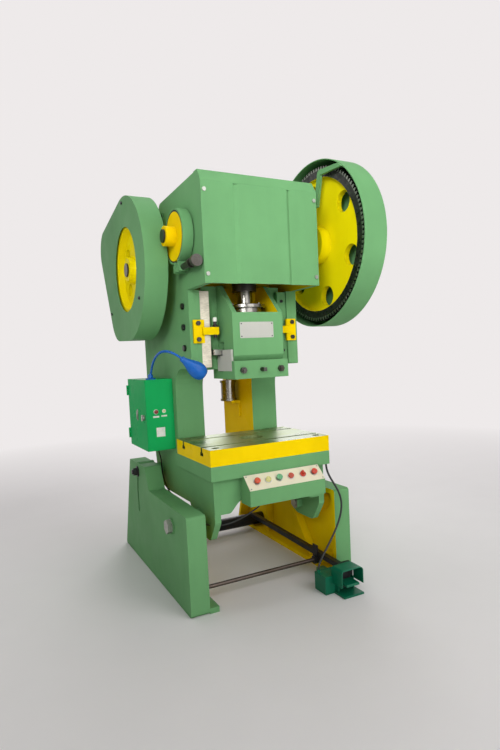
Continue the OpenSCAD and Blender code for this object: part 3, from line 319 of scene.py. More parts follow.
zinc = metal("zinc_plate", srgb(168, 170, 162), gloss=0.38, oil=0.10, grain_scale=180)
rod_steel = metal("rolled_rod", srgb(96, 86, 80), gloss=0.44, grain=(5, 0.5, 0.5), oil=0.35, grain_scale=120)
bronze = metal("bronze", srgb(176, 128, 66), gloss=0.32, grain=(6, 0.5, 0.5), oil=0.35)
aluminium = metal(
    "brushed_aluminium", srgb(222, 222, 216), gloss=0.36, grain=(0.5, 12, 12), oil=0.05, grain_scale=90,
)
gear_grease = grease("gear_grease")
oily_top = ground_top("ground_bolster_top")
lining = moulded("brake_lining", srgb(46, 42, 38), gloss=0.75, grain=240)
rubber = moulded("rubber", srgb(26, 26, 27), gloss=0.55, grain=500)
cable_skin = moulded("cable_sheath", srgb(30, 34, 33), gloss=0.42, grain=900)
grey_plastic = moulded("grey_plastic", srgb(150, 152, 150), gloss=0.45)
dark_plastic = moulded("dark_plastic", srgb(36, 38, 40), gloss=0.42)
white_plastic = moulded("white_plastic", srgb(236, 236, 230), gloss=0.35)
red_plastic = moulded("red_plastic", srgb(206, 62, 38), gloss=0.24, clear=0.3)
orange_plastic = moulded("orange_plastic", srgb(214, 82, 48), gloss=0.24, clear=0.3)
dark_red = moulded("dark_red_plastic", srgb(140, 40, 34), gloss=0.3)
green_plastic = moulded("green_plastic", srgb(104, 176, 124), gloss=0.24, clear=0.3)
yellow_lens = lens("yellow_lens", srgb(232, 226, 148))
red_lens = lens("red_lens", srgb(206, 80, 54))
frosted = lens("frosted_glass", srgb(246, 244, 236))


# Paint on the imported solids
def finish(name, *materials, rule=None):
    """Gives a solid its materials; the rule picks one per face from its middle, in mm, and normal."""
    mesh = nodes[name].data
    mesh.materials.clear()
    for material in materials:
        mesh.materials.append(material)
    for face in mesh.polygons:
        face.material_index = int(rule(drawn(face.center), face.normal)) if rule else 0


# Where one paint ends and the next begins, in mm
LEG_OUTLINE = [(-205, 0), (953, 0), (738, 567), (432, 567), (368, 450), (-205, 450)]
LEG_IN, LEG_PROBE = 346, 9
PIVOT_Z, PIVOT_NUT_R, WASHER_X = 362, 28, 443
SLOT_R, SLOT_HALF, SLOT_LOW = 592, 14, 270
UPRIGHT_IN, UPRIGHT_BACK = 145, 283
HEAD_FRONT, HEAD_ROOF_LOW, GUIDE_BOTTOM = -215, 1560, 1090
BOLSTER_X, BOLSTER_Y = 315, 220
SLIDE_FRONT, SLIDE_TOP, SLIDE_FOOT = -130, 1343, 1040
RECESS_X, RECESS_BACK, RAIL_X, SHANK_HALF = 112, 100, 215, 26
CRANK_Z, BULL_RIM_R, TOOTH_ROOT_R = 1700, 340, 377
CRANK_END_LEFT, CRANK_END_RIGHT = -352, 515
DRIVE, PINION_LEFT, BELT_GROOVE_R, BELT_GROOVE_X = (433, 1616.6), 437, 321, 461
CYLINDER_LIP_Z, CYLINDER_FOOT_Z = 887.5, 886
EDGE = 1


def inside_outline(y, z, outline):
    """Whether a point of a side view lies in an outline."""
    found = False
    for (y0, z0), (y1, z1) in zip(outline, outline[1:] + outline[:1]):
        if (z0 > z) != (z1 > z) and y < y0 + (z - z0) / (z1 - z0) * (y1 - y0):
            found = not found
    return found


def inward(p, n):
    """Whether a face looks towards the press's middle plane."""
    return n.x * p.x < -0.5 * abs(p.x)


def off_pivot(p):
    return math.hypot(p.y, p.z - PIVOT_Z)


def leg_inside(p, n):
    if abs(p.x) < LEG_IN - EDGE:
        return False
    if abs(n.x) > 0.5:
        return inward(p, n)
    in_slot = p.z > SLOT_LOW and abs(off_pivot(p) - SLOT_R) < SLOT_HALF + 2 * EDGE
    return not in_slot and inside_outline(p.y + LEG_PROBE * n.y, p.z + LEG_PROBE * n.z, LEG_OUTLINE)


def painted_washer(p, n):
    return abs(p.x) < WASHER_X + EDGE and off_pivot(p) > PIVOT_NUT_R


def upright_inside(p, n):
    return p.y > UPRIGHT_BACK - EDGE or (inward(p, n) and abs(p.x) < UPRIGHT_IN + EDGE)


def head_inside(p, n):
    return not (n.z > 0.3 and p.z > HEAD_ROOF_LOW)


def off_crank(p):
    return math.hypot(p.y, p.z - CRANK_Z)


def bull_rim(p, n):
    wall = n.y * p.y + n.z * (p.z - CRANK_Z) < -0.5 * off_crank(p)
    on_rim = off_crank(p) > BULL_RIM_R - EDGE and not wall and abs(n.x) < 0.5
    return off_crank(p) > BULL_RIM_R + EDGE or on_rim


def bull_part(p, n):
    tooth_end = off_crank(p) > TOOTH_ROOT_R and abs(n.x) > 0.5
    return 2 if tooth_end else bull_rim(p, n)


def slide_part(p, n):
    recess = abs(p.x) < RECESS_X and p.z > SLIDE_TOP + EDGE and p.y < RECESS_BACK
    machined = abs(p.x) > RAIL_X - 2 * EDGE or (n.z < -0.9 and p.z < SLIDE_FOOT)
    return 2 if recess else machined


def off_drive(p):
    return math.hypot(p.y - DRIVE[0], p.z - DRIVE[1])


# Slanted control panel and its six stations
PANEL_LOW, PANEL_HIGH = Vector((0, -285, 540)), Vector((0, -222, 598))
PANEL_MID = (PANEL_LOW + PANEL_HIGH) / 2
PANEL_UP = (PANEL_HIGH - PANEL_LOW).normalized()
PANEL_OUT = Vector(RIGHT).cross(PANEL_UP)
PANEL_T, BEZEL_RISE, LENS_RISE, LENS_R = 3, 0.5, 2.5, 13.5
CONTROL_X, CONTROL_W = 40, 400
STATIONS = [CONTROL_X + x for x in (-150, -92, -35, 28, 94, 156)]
YELLOW_PILOT, RED_PILOT = 1, 3


def on_panel(x, up):
    return PANEL_MID + Vector((x, 0, 0)) + PANEL_UP * up + PANEL_OUT * PANEL_T


def panel_part(p, n):
    height = (p - PANEL_MID).dot(PANEL_OUT)
    across = (p - PANEL_MID).dot(PANEL_UP)
    if height < PANEL_T + BEZEL_RISE:
        return 0
    station = min(range(len(STATIONS)), key=lambda k: abs(p.x - STATIONS[k]))
    from_axis = math.hypot(p.x - STATIONS[station], across)
    if from_axis < LENS_R and height > PANEL_T + LENS_RISE:
        return {YELLOW_PILOT: 2, RED_PILOT: 3}.get(station, 1)
    return 1


PLAIN = {
    green: (
        "table_block", "head_cover", "right_gib", "brake_band", "gear_guard", "belt_guard", "motor",
        "motor_bracket", "control_box",
    ),
    emerald: ("electrical_box", "cabinet_door"),
    yellow: ("knockout_stops", "brake_drum"),
    black: ("rear_tie_tube", "pedal_lever"),
    teal: ("footswitch_base", "footswitch_hood", "footswitch_treadle"),
    pale_iron: ("left_gib",),
    polished: ("ball_cap", "ball_screw"),
    turned: ("crank_pin", "knockout_bar", "shaft_bearings"),
    dark_steel: ("connecting_rod", "motor_pulley", "brake_adjuster", "clamp_bolts"),
    black_oxide: ("stop_screws", "tilt_bolts"),
    zinc: ("door_lock",),
    rod_steel: ("pedal_shaft",),
    bronze: ("crank_bushes",),
    lining: ("brake_lining",),
    rubber: ("v_belts",),
    orange_plastic: ("left_button",),
    green_plastic: ("start_button",),
    red_plastic: ("stop_button", "mode_selector"),
}
for material, names in PLAIN.items():
    for name in names:
        finish(name, material)
for name in ("left_leg", "right_leg"):
    finish(name, green, yellow, rule=leg_inside)
for name in ("left_side_plate", "right_side_plate"):
    finish(name, green, yellow, rule=lambda p, n: inward(p, n) and p.z > GUIDE_BOTTOM)
for name in ("left_upright", "right_upright"):
    finish(name, green, yellow, rule=upright_inside)
finish("head_box", green, yellow, rule=head_inside)
finish(
    "bolster_plate", yellow, oily_top,
    rule=lambda p, n: n.z > 0.9 or (abs(p.x) < BOLSTER_X - EDGE and abs(p.y) < BOLSTER_Y - EDGE),
)
finish("bull_gear", yellow_lit_copy, gear_grease, tooth_ends, rule=bull_part)
finish("drive_shaft", dark_steel, gear_grease, rule=lambda p, n: p.x > PINION_LEFT)
finish(
    "flywheel", yellow_lit_copy, dark_steel,
    rule=lambda p, n: off_drive(p) > BELT_GROOVE_R and abs(p.x) < BELT_GROOVE_X,
)
finish("crankshaft", turned, black_oxide, rule=lambda p, n: p.x < CRANK_END_LEFT or p.x > CRANK_END_RIGHT)
finish("frame_bolts", black_oxide, zinc, rule=lambda p, n: p.y < HEAD_FRONT)
finish("pivot_bolts", zinc, green, rule=painted_washer)
finish("slide", green, pale_iron, yellow, rule=slide_part)
finish("shank_clamp", green, pale_iron, rule=lambda p, n: n.z < -0.9 or (abs(p.x) < SHANK_HALF and n.y > 0))
finish(
    "clutch_cylinder", polished, yellow,
    rule=lambda p, n: p.z < CYLINDER_FOOT_Z or (p.z < CYLINDER_LIP_Z and abs(n.z) < 0.5),
)
finish("control_panel", cream, aluminium, yellow_lens, red_lens, rule=panel_part)


# Mesh helpers
def lathe(bm, place, profile, sides=32, ring=False):
    """The profile's (radius, height) points turned round the place's local Z; a ring has a hole."""
    rings = []
    for r, z in profile:
        count = sides if r else 1
        angles = [2 * math.pi * k / sides for k in range(count)]
        rings.append([bm.verts.new(place @ Vector((r * math.cos(a), r * math.sin(a), z))) for a in angles])
    following = rings[1:] + rings[:1] if ring else rings[1:]
    for low, high in zip(rings, following):
        for k in range(sides):
            n = (k + 1) % sides
            loop = [low[k % len(low)], low[n % len(low)], high[n % len(high)], high[k % len(high)]]
            bm.faces.new(list(dict.fromkeys(loop)))
    for edge, way in ((rings[0], -1), (rings[-1], 1)):
        if len(edge) > 1 and not ring:
            bm.faces.new(edge[::way])


def rounded_loop(w, h, r, inset, steps=4):
    """Corner points of a rounded rectangle, drawn in by the inset."""
    r = max(r - inset, 0.05)
    loop = []
    for k, (sx, sy) in enumerate(((1, 1), (-1, 1), (-1, -1), (1, -1))):
        cx, cy = sx * (w / 2 - inset - r), sy * (h / 2 - inset - r)
        for i in range(steps + 1):
            a = math.pi / 2 * (k + i / steps)
            loop.append((cx + r * math.cos(a), cy + r * math.sin(a)))
    return loop


def slab(bm, place, w, h, t, corner, chamfer, low=0.0):
    """A plate with rounded corners and a chamfered front edge, standing on the place's local XY."""
    rings = []
    for inset, z in ((0, low), (0, t - chamfer), (chamfer, t)):
        loop = rounded_loop(w, h, corner, inset)
        rings.append([bm.verts.new(place @ Vector((x, y, z))) for x, y in loop])
    for under, over in zip(rings, rings[1:]):
        for k in range(len(under)):
            n = (k + 1) % len(under)
            bm.faces.new((under[k], under[n], over[n], over[k]))
    bm.faces.new(rings[0][::-1])
    bm.faces.new(rings[-1])


def dome(bm, place, r, rise, sides=20, low=0.0):
    """A rivet or pan head."""
    steps = 4
    angles = [math.pi / 2 * k / steps for k in range(steps)]
    curve = [(r * math.cos(a), rise * math.sin(a)) for a in angles]
    lathe(bm, place, [(r, low)] + [(x, y) for x, y in curve if y > low] + [(0, rise)], sides)


def hex_bolt(bm, place, across, height, washer):
    """A bolt head on its washer."""
    r = across / 2 / math.cos(math.pi / 6)
    low = 2
    top = low + height
    lathe(bm, place, [(washer, 0), (washer, low - 0.4), (washer - 0.5, low), (0, low)], sides=28)
    lathe(bm, place, [(r, low), (r, top - 1.2), (r * 0.88, top), (0, top)], sides=6)


def socket_screw(bm, place, r, height):
    """A cylinder head with its recess."""
    chamfer, recess_r, recess_z = 0.8, r * 0.52, height * 0.35
    lathe(bm, place, [
        (r, 0), (r, height - chamfer), (r - chamfer, height),
        (recess_r, height), (recess_r, recess_z), (0, recess_z),
    ], sides=24)


def piece(name, bm, material, body, sharp=38):
    """Turns a bmesh into a piece that rides on a body."""
    bmesh.ops.recalc_face_normals(bm, faces=bm.faces)
    mesh = bpy.data.meshes.new(name)
    bm.to_mesh(mesh)
    bm.free()
    mesh.materials.append(material)
    mesh.shade_smooth()
    mesh.set_sharp_from_angle(angle=math.radians(sharp))
    obj = bpy.data.objects.new(name, mesh)
    scene.collection.objects.link(obj)
    if body:
        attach(obj, body)
    return obj


def smooth(route, steps):
    """A smooth line through the route's points."""
    points = [Vector(p) for p in route]
    last = len(points) - 1
    line = []
    for i in range(last):
        a, b, c, d = points[max(i - 1, 0)], points[i], points[i + 1], points[min(i + 2, last)]
        for k in range(steps):
            t = k / steps
            bend, twist = 2 * a - 5 * b + 4 * c - d, 3 * b - a - 3 * c + d
            line.append(0.5 * (2 * b + (c - a) * t + bend * t**2 + twist * t**3))
    return line + [points[-1]]


def bezier(a, b, c, d, steps):
    """Points on a curve from a to d with the guide points b and c."""
    a, b, c, d = (Vector(p) for p in (a, b, c, d))
    line = []
    for k in range(steps + 1):
        t = k / steps
        u = 1 - t
        line.append(a * u**3 + b * (3 * u * u * t) + c * (3 * u * t * t) + d * t**3)
    return line


def tube(bm, line, radius, sides=14):
    """A closed tube along a line of points in mm; the radius may change from point to point."""
    last = len(line) - 1
    side = None
    rings = []
    for i, p in enumerate(line):
        along = (line[min(i + 1, last)] - line[max(i - 1, 0)]).normalized()
        if side is None:
            side = along.orthogonal().normalized()
        side = (side - along * side.dot(along)).normalized()
        across = along.cross(side)
        r = radius(i) if callable(radius) else radius
        angles = [2 * math.pi * k / sides for k in range(sides)]
        around = [side * math.cos(a) + across * math.sin(a) for a in angles]
        rings.append([bm.verts.new(at(*(p + r * way))) for way in around])
    for low, high in zip(rings, rings[1:]):
        for k in range(sides):
            n = (k + 1) % sides
            bm.faces.new((low[k], low[n], high[n], high[k]))
    bm.faces.new(rings[0][::-1])
    bm.faces.new(rings[-1])


# Cables: from the table to the foot switch, and from the electrical box to the control box
FOOT_TOP, FOOT_BULGE, FOOT_END = (303, -206, 591), (364, -238, 385), (198, -261, 98.9)
FOOT_LINE = bezier(FOOT_TOP, (303, -206, 511), (364, -238, 475), FOOT_BULGE, steps=20)
FOOT_LINE += bezier(FOOT_BULGE, (364, -238, 265), (198, -261, 153.9), FOOT_END, steps=24)[1:]
CONTROL_ROUTE = [
    (-338, 486, 670), (-328, 500, 628), (-314, 518, 586), (-308, 530, 540), (-307, 522, 494),
    (-307, 492, 456), (-307, 450, 430), (-307, 402, 414), (-308, 352, 404), (-309, 302, 396),
    (-310, 252, 390), (-311, 202, 385), (-312, 152, 381), (-312, 102, 378), (-312, 52, 375),
    (-312, 2, 373), (-311, -48, 372), (-304, -98, 371), (-280, -138, 371), (-236, -158, 373),
    (-188, -163, 380), (-142, -169, 395), (-102, -180, 417), (-74, -198, 442), (-62, -212, 474),
]
CABLE_STEPS = 8
FOOT_CABLE_R, CONTROL_CABLE_R = 5, 3.5


def make_cable(name, line, r, body):
    bm = bmesh.new()
    tube(bm, line, r)
    cable = piece(name, bm, cable_skin, body)
    return cable, [at(*p) for p in line]


foot_cable, foot_line = make_cable("foot_cable", FOOT_LINE, FOOT_CABLE_R, None)
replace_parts(foot_cable, "footswitch_cable")
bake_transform(foot_cable)
control_cable, control_line = make_cable(
    "control_cable", smooth(CONTROL_ROUTE, CABLE_STEPS), CONTROL_CABLE_R, "frame",
)


# Dark plate behind the foot switch's treadle
BACK_PLATE_AT, BACK_PLATE_W, BACK_PLATE_H, BACK_PLATE_T = (321, -324, 47), 62, 76, 2


def make_switch_back():
    bm = bmesh.new()
    slab(bm, facing(BACK_PLATE_AT, FRONT), BACK_PLATE_W, BACK_PLATE_H, BACK_PLATE_T, corner=1, chamfer=0.4)
    piece("footswitch_back_plate", bm, dark_plastic, "base")


make_switch_back()


# Work lamp: foot, ribbed gooseneck, shade and bulb
LAMP_FOOT, LAMP_START = Vector((-402, 322, 1060)), Vector((-366, -60, 1142))
LAMP_AXIS = Vector((127, 18, -94)).normalized()
NECK_RISE, NECK_LEAD = Vector((0, -51, 86)), 140
NECK_R, NECK_RIB, NECK_STEPS = 5.4, 0.6, 300
LAMP_BASE_AT, LAMP_SCREWS, LAMP_SCREW_R = (-402, 326, 1040), 3, 19
LAMP_BASE = [(26, 0), (26, 5), (23, 8), (14, 9), (13, 12), (13, 24), (10, 28), (6.5, 29)]
SHADE_COLLAR = [(9, 0), (12.5, 2), (13.5, 4), (13.5, 12), (16, 24)]
SHADE_BELL = [
    (21.5, 40), (29, 58), (35.5, 76), (39.3, 92), (40, 104), (38.6, 117), (34.8, 128), (30, 136),
]
SHADE_WALL, LINING_WALL, LINING_GAP = 1.4, 0.5, 0.1
HOLDER = [(16, 41), (16, 54), (14, 58), (0, 58)]
BULB = [(11, 57), (12, 64), (17, 75), (22, 86), (24, 97), (22, 108), (16, 117), (8, 122), (0, 123)]
SMOOTH_ANGLE = 80


def make_gooseneck():
    line = bezier(
        LAMP_FOOT, LAMP_FOOT + NECK_RISE, LAMP_START - LAMP_AXIS * NECK_LEAD, LAMP_START, NECK_STEPS,
    )
    bm = bmesh.new()
    tube(bm, line, lambda i: NECK_R + NECK_RIB * math.cos(math.pi / 2 * i), sides=12)
    foot = facing(LAMP_BASE_AT, UP, BACK)
    lathe(bm, foot, LAMP_BASE, sides=36)
    for k in range(LAMP_SCREWS):
        a = 2 * math.pi * k / LAMP_SCREWS + 0.5
        spot = (LAMP_SCREW_R * math.cos(a), LAMP_SCREW_R * math.sin(a), 7)
        dome(bm, foot @ Matrix.Translation(spot), r=3, rise=2.4, sides=12)
    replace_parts(piece("gooseneck", bm, blue, "frame"), "work_lamp_neck")


def make_shade():
    place = facing(LAMP_START, LAMP_AXIS)
    inner = [(0, SHADE_BELL[0][1])] + [(r - SHADE_WALL, z) for r, z in SHADE_BELL]
    outside = [(r, z + LINING_GAP) for r, z in inner[:-1]]
    inside = [(max(r - LINING_WALL, 0), z + LINING_WALL) for r, z in inner[:-1]]
    bm = bmesh.new()
    lathe(bm, place, SHADE_COLLAR + SHADE_BELL + inner[::-1], sides=64)
    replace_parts(piece("lamp_shade", bm, blue, "frame", SMOOTH_ANGLE), "work_lamp_shade")
    bm = bmesh.new()
    lathe(bm, place, outside + inside[::-1], sides=64)
    piece("lamp_lining", bm, white_enamel, "frame", SMOOTH_ANGLE)


def make_bulb():
    place = facing(LAMP_START, LAMP_AXIS)
    bm = bmesh.new()
    lathe(bm, place, HOLDER, sides=28)
    piece("lamp_holder", bm, dark_plastic, "frame")
    bm = bmesh.new()
    lathe(bm, place, BULB, sides=32)
    piece("lamp_bulb", bm, frosted, "frame", SMOOTH_ANGLE)


make_gooseneck()
make_shade()
make_bulb()


# Flange of the ball cap
CAP_R, CAP_TOP, CAP_FIT = 80, SLIDE_TOP + 44, 0.3
FLANGE_R, FLANGE_T, FLANGE_EDGE, FLANGE_SCREWS = 99, 17, 1.5, 8


def make_cap_flange():
    place = facing((0, 0, CAP_TOP), UP, BACK)
    bore, edge = CAP_R + CAP_FIT, FLANGE_R - FLANGE_EDGE
    bm = bmesh.new()
    lathe(bm, place, [
        (bore, -FLANGE_T), (edge, -FLANGE_T), (FLANGE_R, FLANGE_EDGE - FLANGE_T),
        (FLANGE_R, -FLANGE_EDGE), (edge, 0), (bore, 0),
    ], sides=96, ring=True)
    for k in range(FLANGE_SCREWS):
        turn = Matrix.Rotation(2 * math.pi * (k + 0.5) / FLANGE_SCREWS, 4, "Z")
        spot = Matrix.Translation(((CAP_R + FLANGE_R) / 2, 0, -0.5))
        socket_screw(bm, place @ turn @ spot, r=5.5, height=6)
    piece("cap_flange", bm, polished, "ram")


make_cap_flange()


# Bare plate and side sheet on the slide
PLATE_AT, PLATE_W, PLATE_H, PLATE_T = (-8, SLIDE_FRONT, 1260), 178, 75, 1.4
PLATE_FIELD_W, PLATE_FIELD_H, PLATE_FIELD_T = 148, 59, 2.0
SHEET_X, SHEET_T = -143, 1.6
SHEET_STRIPS = [
    ((-121, 38), (1071, 1117), 0),
    ((-121, 38), (1117, 1146), 9),
    ((-121, -24), (1146, 1172), 9),
    ((24, 38), (1146, 1172), 9),
]


def corner_rivets(bm, place, w, h, inset, r, rise, low):
    for sx in (-1, 1):
        for sy in (-1, 1):
            spot = Matrix.Translation((sx * (w / 2 - inset), sy * (h / 2 - inset), low))
            dome(bm, place @ spot, r, rise, sides=14)


def make_slide_plate():
    place = facing(PLATE_AT, FRONT)
    bm = bmesh.new()
    slab(bm, place, PLATE_W, PLATE_H, PLATE_T, corner=4, chamfer=0.5)
    slab(bm, place, PLATE_FIELD_W, PLATE_FIELD_H, PLATE_FIELD_T, corner=2, chamfer=0.4, low=PLATE_T)
    piece("slide_plate", bm, plate_paint, "ram")
    bm = bmesh.new()
    corner_rivets(bm, place, PLATE_W, PLATE_H, inset=8, r=3.2, rise=1.8, low=PLATE_T)
    piece("slide_plate_rivets", bm, black_oxide, "ram")


def make_side_plate():
    """A pale sheet on the slide's left side, cut out round the knock-out bar."""
    bm = bmesh.new()
    for (y0, y1), (z0, z1), behind in SHEET_STRIPS:
        place = facing((SHEET_X, (y0 + y1) / 2, (z0 + z1) / 2), LEFT)
        slab(bm, place, y1 - y0, z1 - z0, SHEET_T, corner=0.5, chamfer=0.3, low=-behind)
    piece("slide_side_plate", bm, plate_paint, "ram")


make_slide_plate()
make_side_plate()


# Screws of the right guide, and the cap on the left stop's screw
GIB_SCREW_X, GIB_SCREW_Y, GIB_SCREW_Z = 212, 8, (1160, 1410)
STOP_CAP_AT = (-170, -12, 1309)
STOP_CAP = [(8, 0), (9.5, 1.5), (10, 6), (10, 15), (8.5, 19), (5, 21), (0, 21.5)]


def make_gib_fittings():
    bm = bmesh.new()
    for z in GIB_SCREW_Z:
        socket_screw(bm, facing((GIB_SCREW_X, GIB_SCREW_Y, z), FRONT), r=8, height=7)
    piece("gib_screws", bm, black_oxide, "frame")
    bm = bmesh.new()
    lathe(bm, facing(STOP_CAP_AT, UP, BACK), STOP_CAP, sides=24)
    piece("stop_screw_cap", bm, white_plastic, "frame")


make_gib_fittings()


# Screws of the guards, their arms and the control panel
BELT_GUARD_X, BELT_GUARD_BOLTS = -473, ((423, 1958), (798, 1420), (191, 1443))
ARM_X = 303
BELT_ARM_BOLTS = ((299, 1868), (321, 1868), (599, 1356), (621, 1356))
GEAR_ARM_BOLTS = ((-52, 1902), (-52, 1924), (302, 1386), (328, 1386))
BOLT_ACROSS, GUARD_BOLT_H, ARM_BOLT_H, BOLT_WASHER_R = 13, 5, 6, 9
PANEL_SCREW_INSET = 9


def make_guard_bolts():
    bm = bmesh.new()
    for y, z in BELT_GUARD_BOLTS:
        hex_bolt(bm, facing((BELT_GUARD_X, y, z), LEFT), BOLT_ACROSS, GUARD_BOLT_H, BOLT_WASHER_R)
    for y, z in BELT_ARM_BOLTS:
        hex_bolt(bm, facing((-ARM_X, y, z), LEFT), BOLT_ACROSS, ARM_BOLT_H, BOLT_WASHER_R)
    piece("belt_guard_bolts", bm, black_oxide, "frame")
    bm = bmesh.new()
    for y, z in GEAR_ARM_BOLTS:
        hex_bolt(bm, facing((ARM_X, y, z), RIGHT), BOLT_ACROSS, ARM_BOLT_H, BOLT_WASHER_R)
    piece("gear_guard_bolts", bm, black_oxide, "frame")


def make_panel_screws():
    bm = bmesh.new()
    half_w = CONTROL_W / 2 - PANEL_SCREW_INSET
    half_h = (PANEL_HIGH - PANEL_LOW).length / 2 - PANEL_SCREW_INSET
    for x in (CONTROL_X - half_w, CONTROL_X + half_w):
        for up in (-half_h, half_h):
            dome(bm, facing(on_panel(x, up), PANEL_OUT), r=3.6, rise=2.2, sides=16)
    piece("panel_screws", bm, zinc, "frame")


make_guard_bolts()
make_panel_screws()


# Electrical box: lamps and blank plates on its front, a pull on its door, gear inside
CABINET_FRONT, CABINET_WALL, DOOR_FACE = 300, -298, -443.4
STOP_AT, PILOT_AT = (-392, 873), (-349, 874)
BLANKS = (((-392, 847), 32, 9, 1.2, 1), ((-349, 849), 30, 8, 1.2, 1), ((-371, 766), 46, 48, 1.0, 1.5))
PULL_Y, PULL_Z = 468, 849
GEAR_Y, GEAR_Z, LOWER_RAIL_Z, UPPER_RAIL_Z, DUCT_Z = 472, 855, 760, 940, (852, 1012)
CONTACTOR_Y, BREAKER_Y, TRANSFORMER_Y = (560, 505, 450), (570, 546, 522), 378
TERMINALS, TERMINAL_Y, TERMINAL_STEP = 11, 480, 11
LOWER_WIRES, LOWER_WIRE_Y, LOWER_WIRE_STEP = 6, 470, 18
UPPER_WIRES, UPPER_WIRE_Y, UPPER_WIRE_STEP = 9, 576, 16
WIRE_R, WIRE_STEPS = 1.8, 6


def make_cabinet_front():
    def on_front(spot):
        return facing((spot[0], CABINET_FRONT, spot[1]), FRONT)

    bm = bmesh.new()
    lathe(bm, on_front(STOP_AT), [(13, 0), (13, 3), (11.5, 4.5), (10, 4.5)], sides=32)
    lathe(bm, on_front(PILOT_AT), [(10, 0), (10, 3), (8.5, 4.5), (7, 4.5)], sides=28)
    piece("cabinet_bezels", bm, aluminium, "frame")
    bm = bmesh.new()
    lathe(bm, on_front(STOP_AT), [(10, 4), (10, 9), (8, 12), (4, 13.6), (0, 14)], sides=32)
    piece("cabinet_stop_knob", bm, dark_red, "frame")
    bm = bmesh.new()
    dome(bm, on_front(PILOT_AT), r=7, rise=9, sides=24, low=4)
    piece("cabinet_pilot", bm, yellow_lens, "frame")
    bm = bmesh.new()
    for spot, w, h, t, corner in BLANKS:
        slab(bm, on_front(spot), w, h, t, corner, chamfer=0.3)
    piece("cabinet_blank_plates", bm, white_plastic, "frame")


def make_door_fittings():
    bm = bmesh.new()
    place = facing((DOOR_FACE, PULL_Y, PULL_Z), LEFT)
    slab(bm, place, w=20, h=62, t=2, corner=9, chamfer=0.6)
    slab(bm, place, w=11, h=46, t=7, corner=5, chamfer=2, low=2)
    piece("door_pull", bm, zinc, "door")


def on_wall(y, z):
    return facing((CABINET_WALL, y, z), LEFT)


def make_cabinet_gear():
    bm = bmesh.new()
    slab(bm, on_wall(GEAR_Y, GEAR_Z), w=290, h=320, t=3, corner=4, chamfer=0.8)
    for z in (LOWER_RAIL_Z, UPPER_RAIL_Z):
        slab(bm, on_wall(GEAR_Y, z), w=270, h=35, t=8, corner=1.5, chamfer=1, low=3)
    piece("cabinet_back_plate", bm, zinc, "frame")
    bm = bmesh.new()
    for y in CONTACTOR_Y:
        place = on_wall(y, UPPER_RAIL_Z)
        slab(bm, place, w=45, h=78, t=52, corner=3, chamfer=1.5, low=8)
        slab(bm, place, w=41, h=40, t=74, corner=3, chamfer=1.5, low=52)
    for y in BREAKER_Y:
        slab(bm, on_wall(y, LOWER_RAIL_Z), w=18, h=84, t=60, corner=2, chamfer=1.2, low=8)
    piece("contactors", bm, dark_plastic, "frame")
    bm = bmesh.new()
    for k in range(TERMINALS):
        place = on_wall(TERMINAL_Y - TERMINAL_STEP * k, LOWER_RAIL_Z)
        slab(bm, place, w=10, h=46, t=44, corner=1, chamfer=0.8, low=8)
    slab(bm, on_wall(TRANSFORMER_Y, UPPER_RAIL_Z), w=60, h=88, t=64, corner=3, chamfer=2, low=8)
    for z in DUCT_Z:
        slab(bm, on_wall(GEAR_Y, z), w=270, h=30, t=42, corner=1.5, chamfer=1.2, low=3)
    piece("terminals_and_ducts", bm, grey_plastic, "frame")


def make_cabinet_wires():
    bm = bmesh.new()
    wall = CABINET_WALL
    for k in range(LOWER_WIRES):
        y = LOWER_WIRE_Y - LOWER_WIRE_STEP * k
        route = [(wall - 46, y, 782), (wall - 54, y, 800), (wall - 50, y, 824), (wall - 30, y + 4, 838)]
        tube(bm, smooth(route, WIRE_STEPS), WIRE_R, sides=8)
    for k in range(UPPER_WIRES):
        y = UPPER_WIRE_Y - UPPER_WIRE_STEP * k
        route = [(wall - 52, y, 980), (wall - 60, y, 988), (wall - 54, y, 996), (wall - 36, y, 1000)]
        tube(bm, smooth(route, WIRE_STEPS), WIRE_R, sides=8)
    piece("cabinet_wires", bm, red_plastic, "frame")


make_cabinet_front()
make_door_fittings()
make_cabinet_gear()
make_cabinet_wires()


# Motor: fan grille, terminal box lid and cable gland
MOTOR_Y, MOTOR_Z, MOTOR_END = 890, 1800, 70
GRILLE_R, GRILLE_BAR = (34, 50, 66, 82, 98), [(-3, 0), (-3, 2.5), (-1.5, 3.5), (1.5, 3.5), (3, 2.5), (3, 0)]
LID_X, LID_RISE, LID_W, LID_H, LID_T = -165, 158, 116, 110, 6
GLAND_Y, GLAND_RISE, GLAND = 942, 126, [(14, 0), (14, 10), (11, 12), (11, 22), (7, 24)]


def make_motor_trim():
    bm = bmesh.new()
    place = facing((MOTOR_END, MOTOR_Y, MOTOR_Z), RIGHT)
    for r in GRILLE_R:
        lathe(bm, place, [(r + dr, z) for dr, z in GRILLE_BAR], sides=72, ring=True)
    dome(bm, place, r=22, rise=5, sides=36)
    piece("fan_grille", bm, green, "frame")
    bm = bmesh.new()
    lid = facing((LID_X, MOTOR_Y, MOTOR_Z + LID_RISE), UP, BACK)
    slab(bm, lid, LID_W, LID_H, LID_T, corner=6, chamfer=2)
    corner_rivets(bm, lid, LID_W, LID_H, inset=9, r=4, rise=3, low=LID_T)
    lathe(bm, facing((LID_X, GLAND_Y, MOTOR_Z + GLAND_RISE), BACK), GLAND, sides=6)
    piece("terminal_lid", bm, green, "frame")


make_motor_trim()


# Floor, backdrop and light
FLOOR_TINT = srgb(238, 234, 234)
FLOOR_R, FADE_FROM, FADE_TO = 14.0, 2.2, 5.5
AMBIENT = 0.36


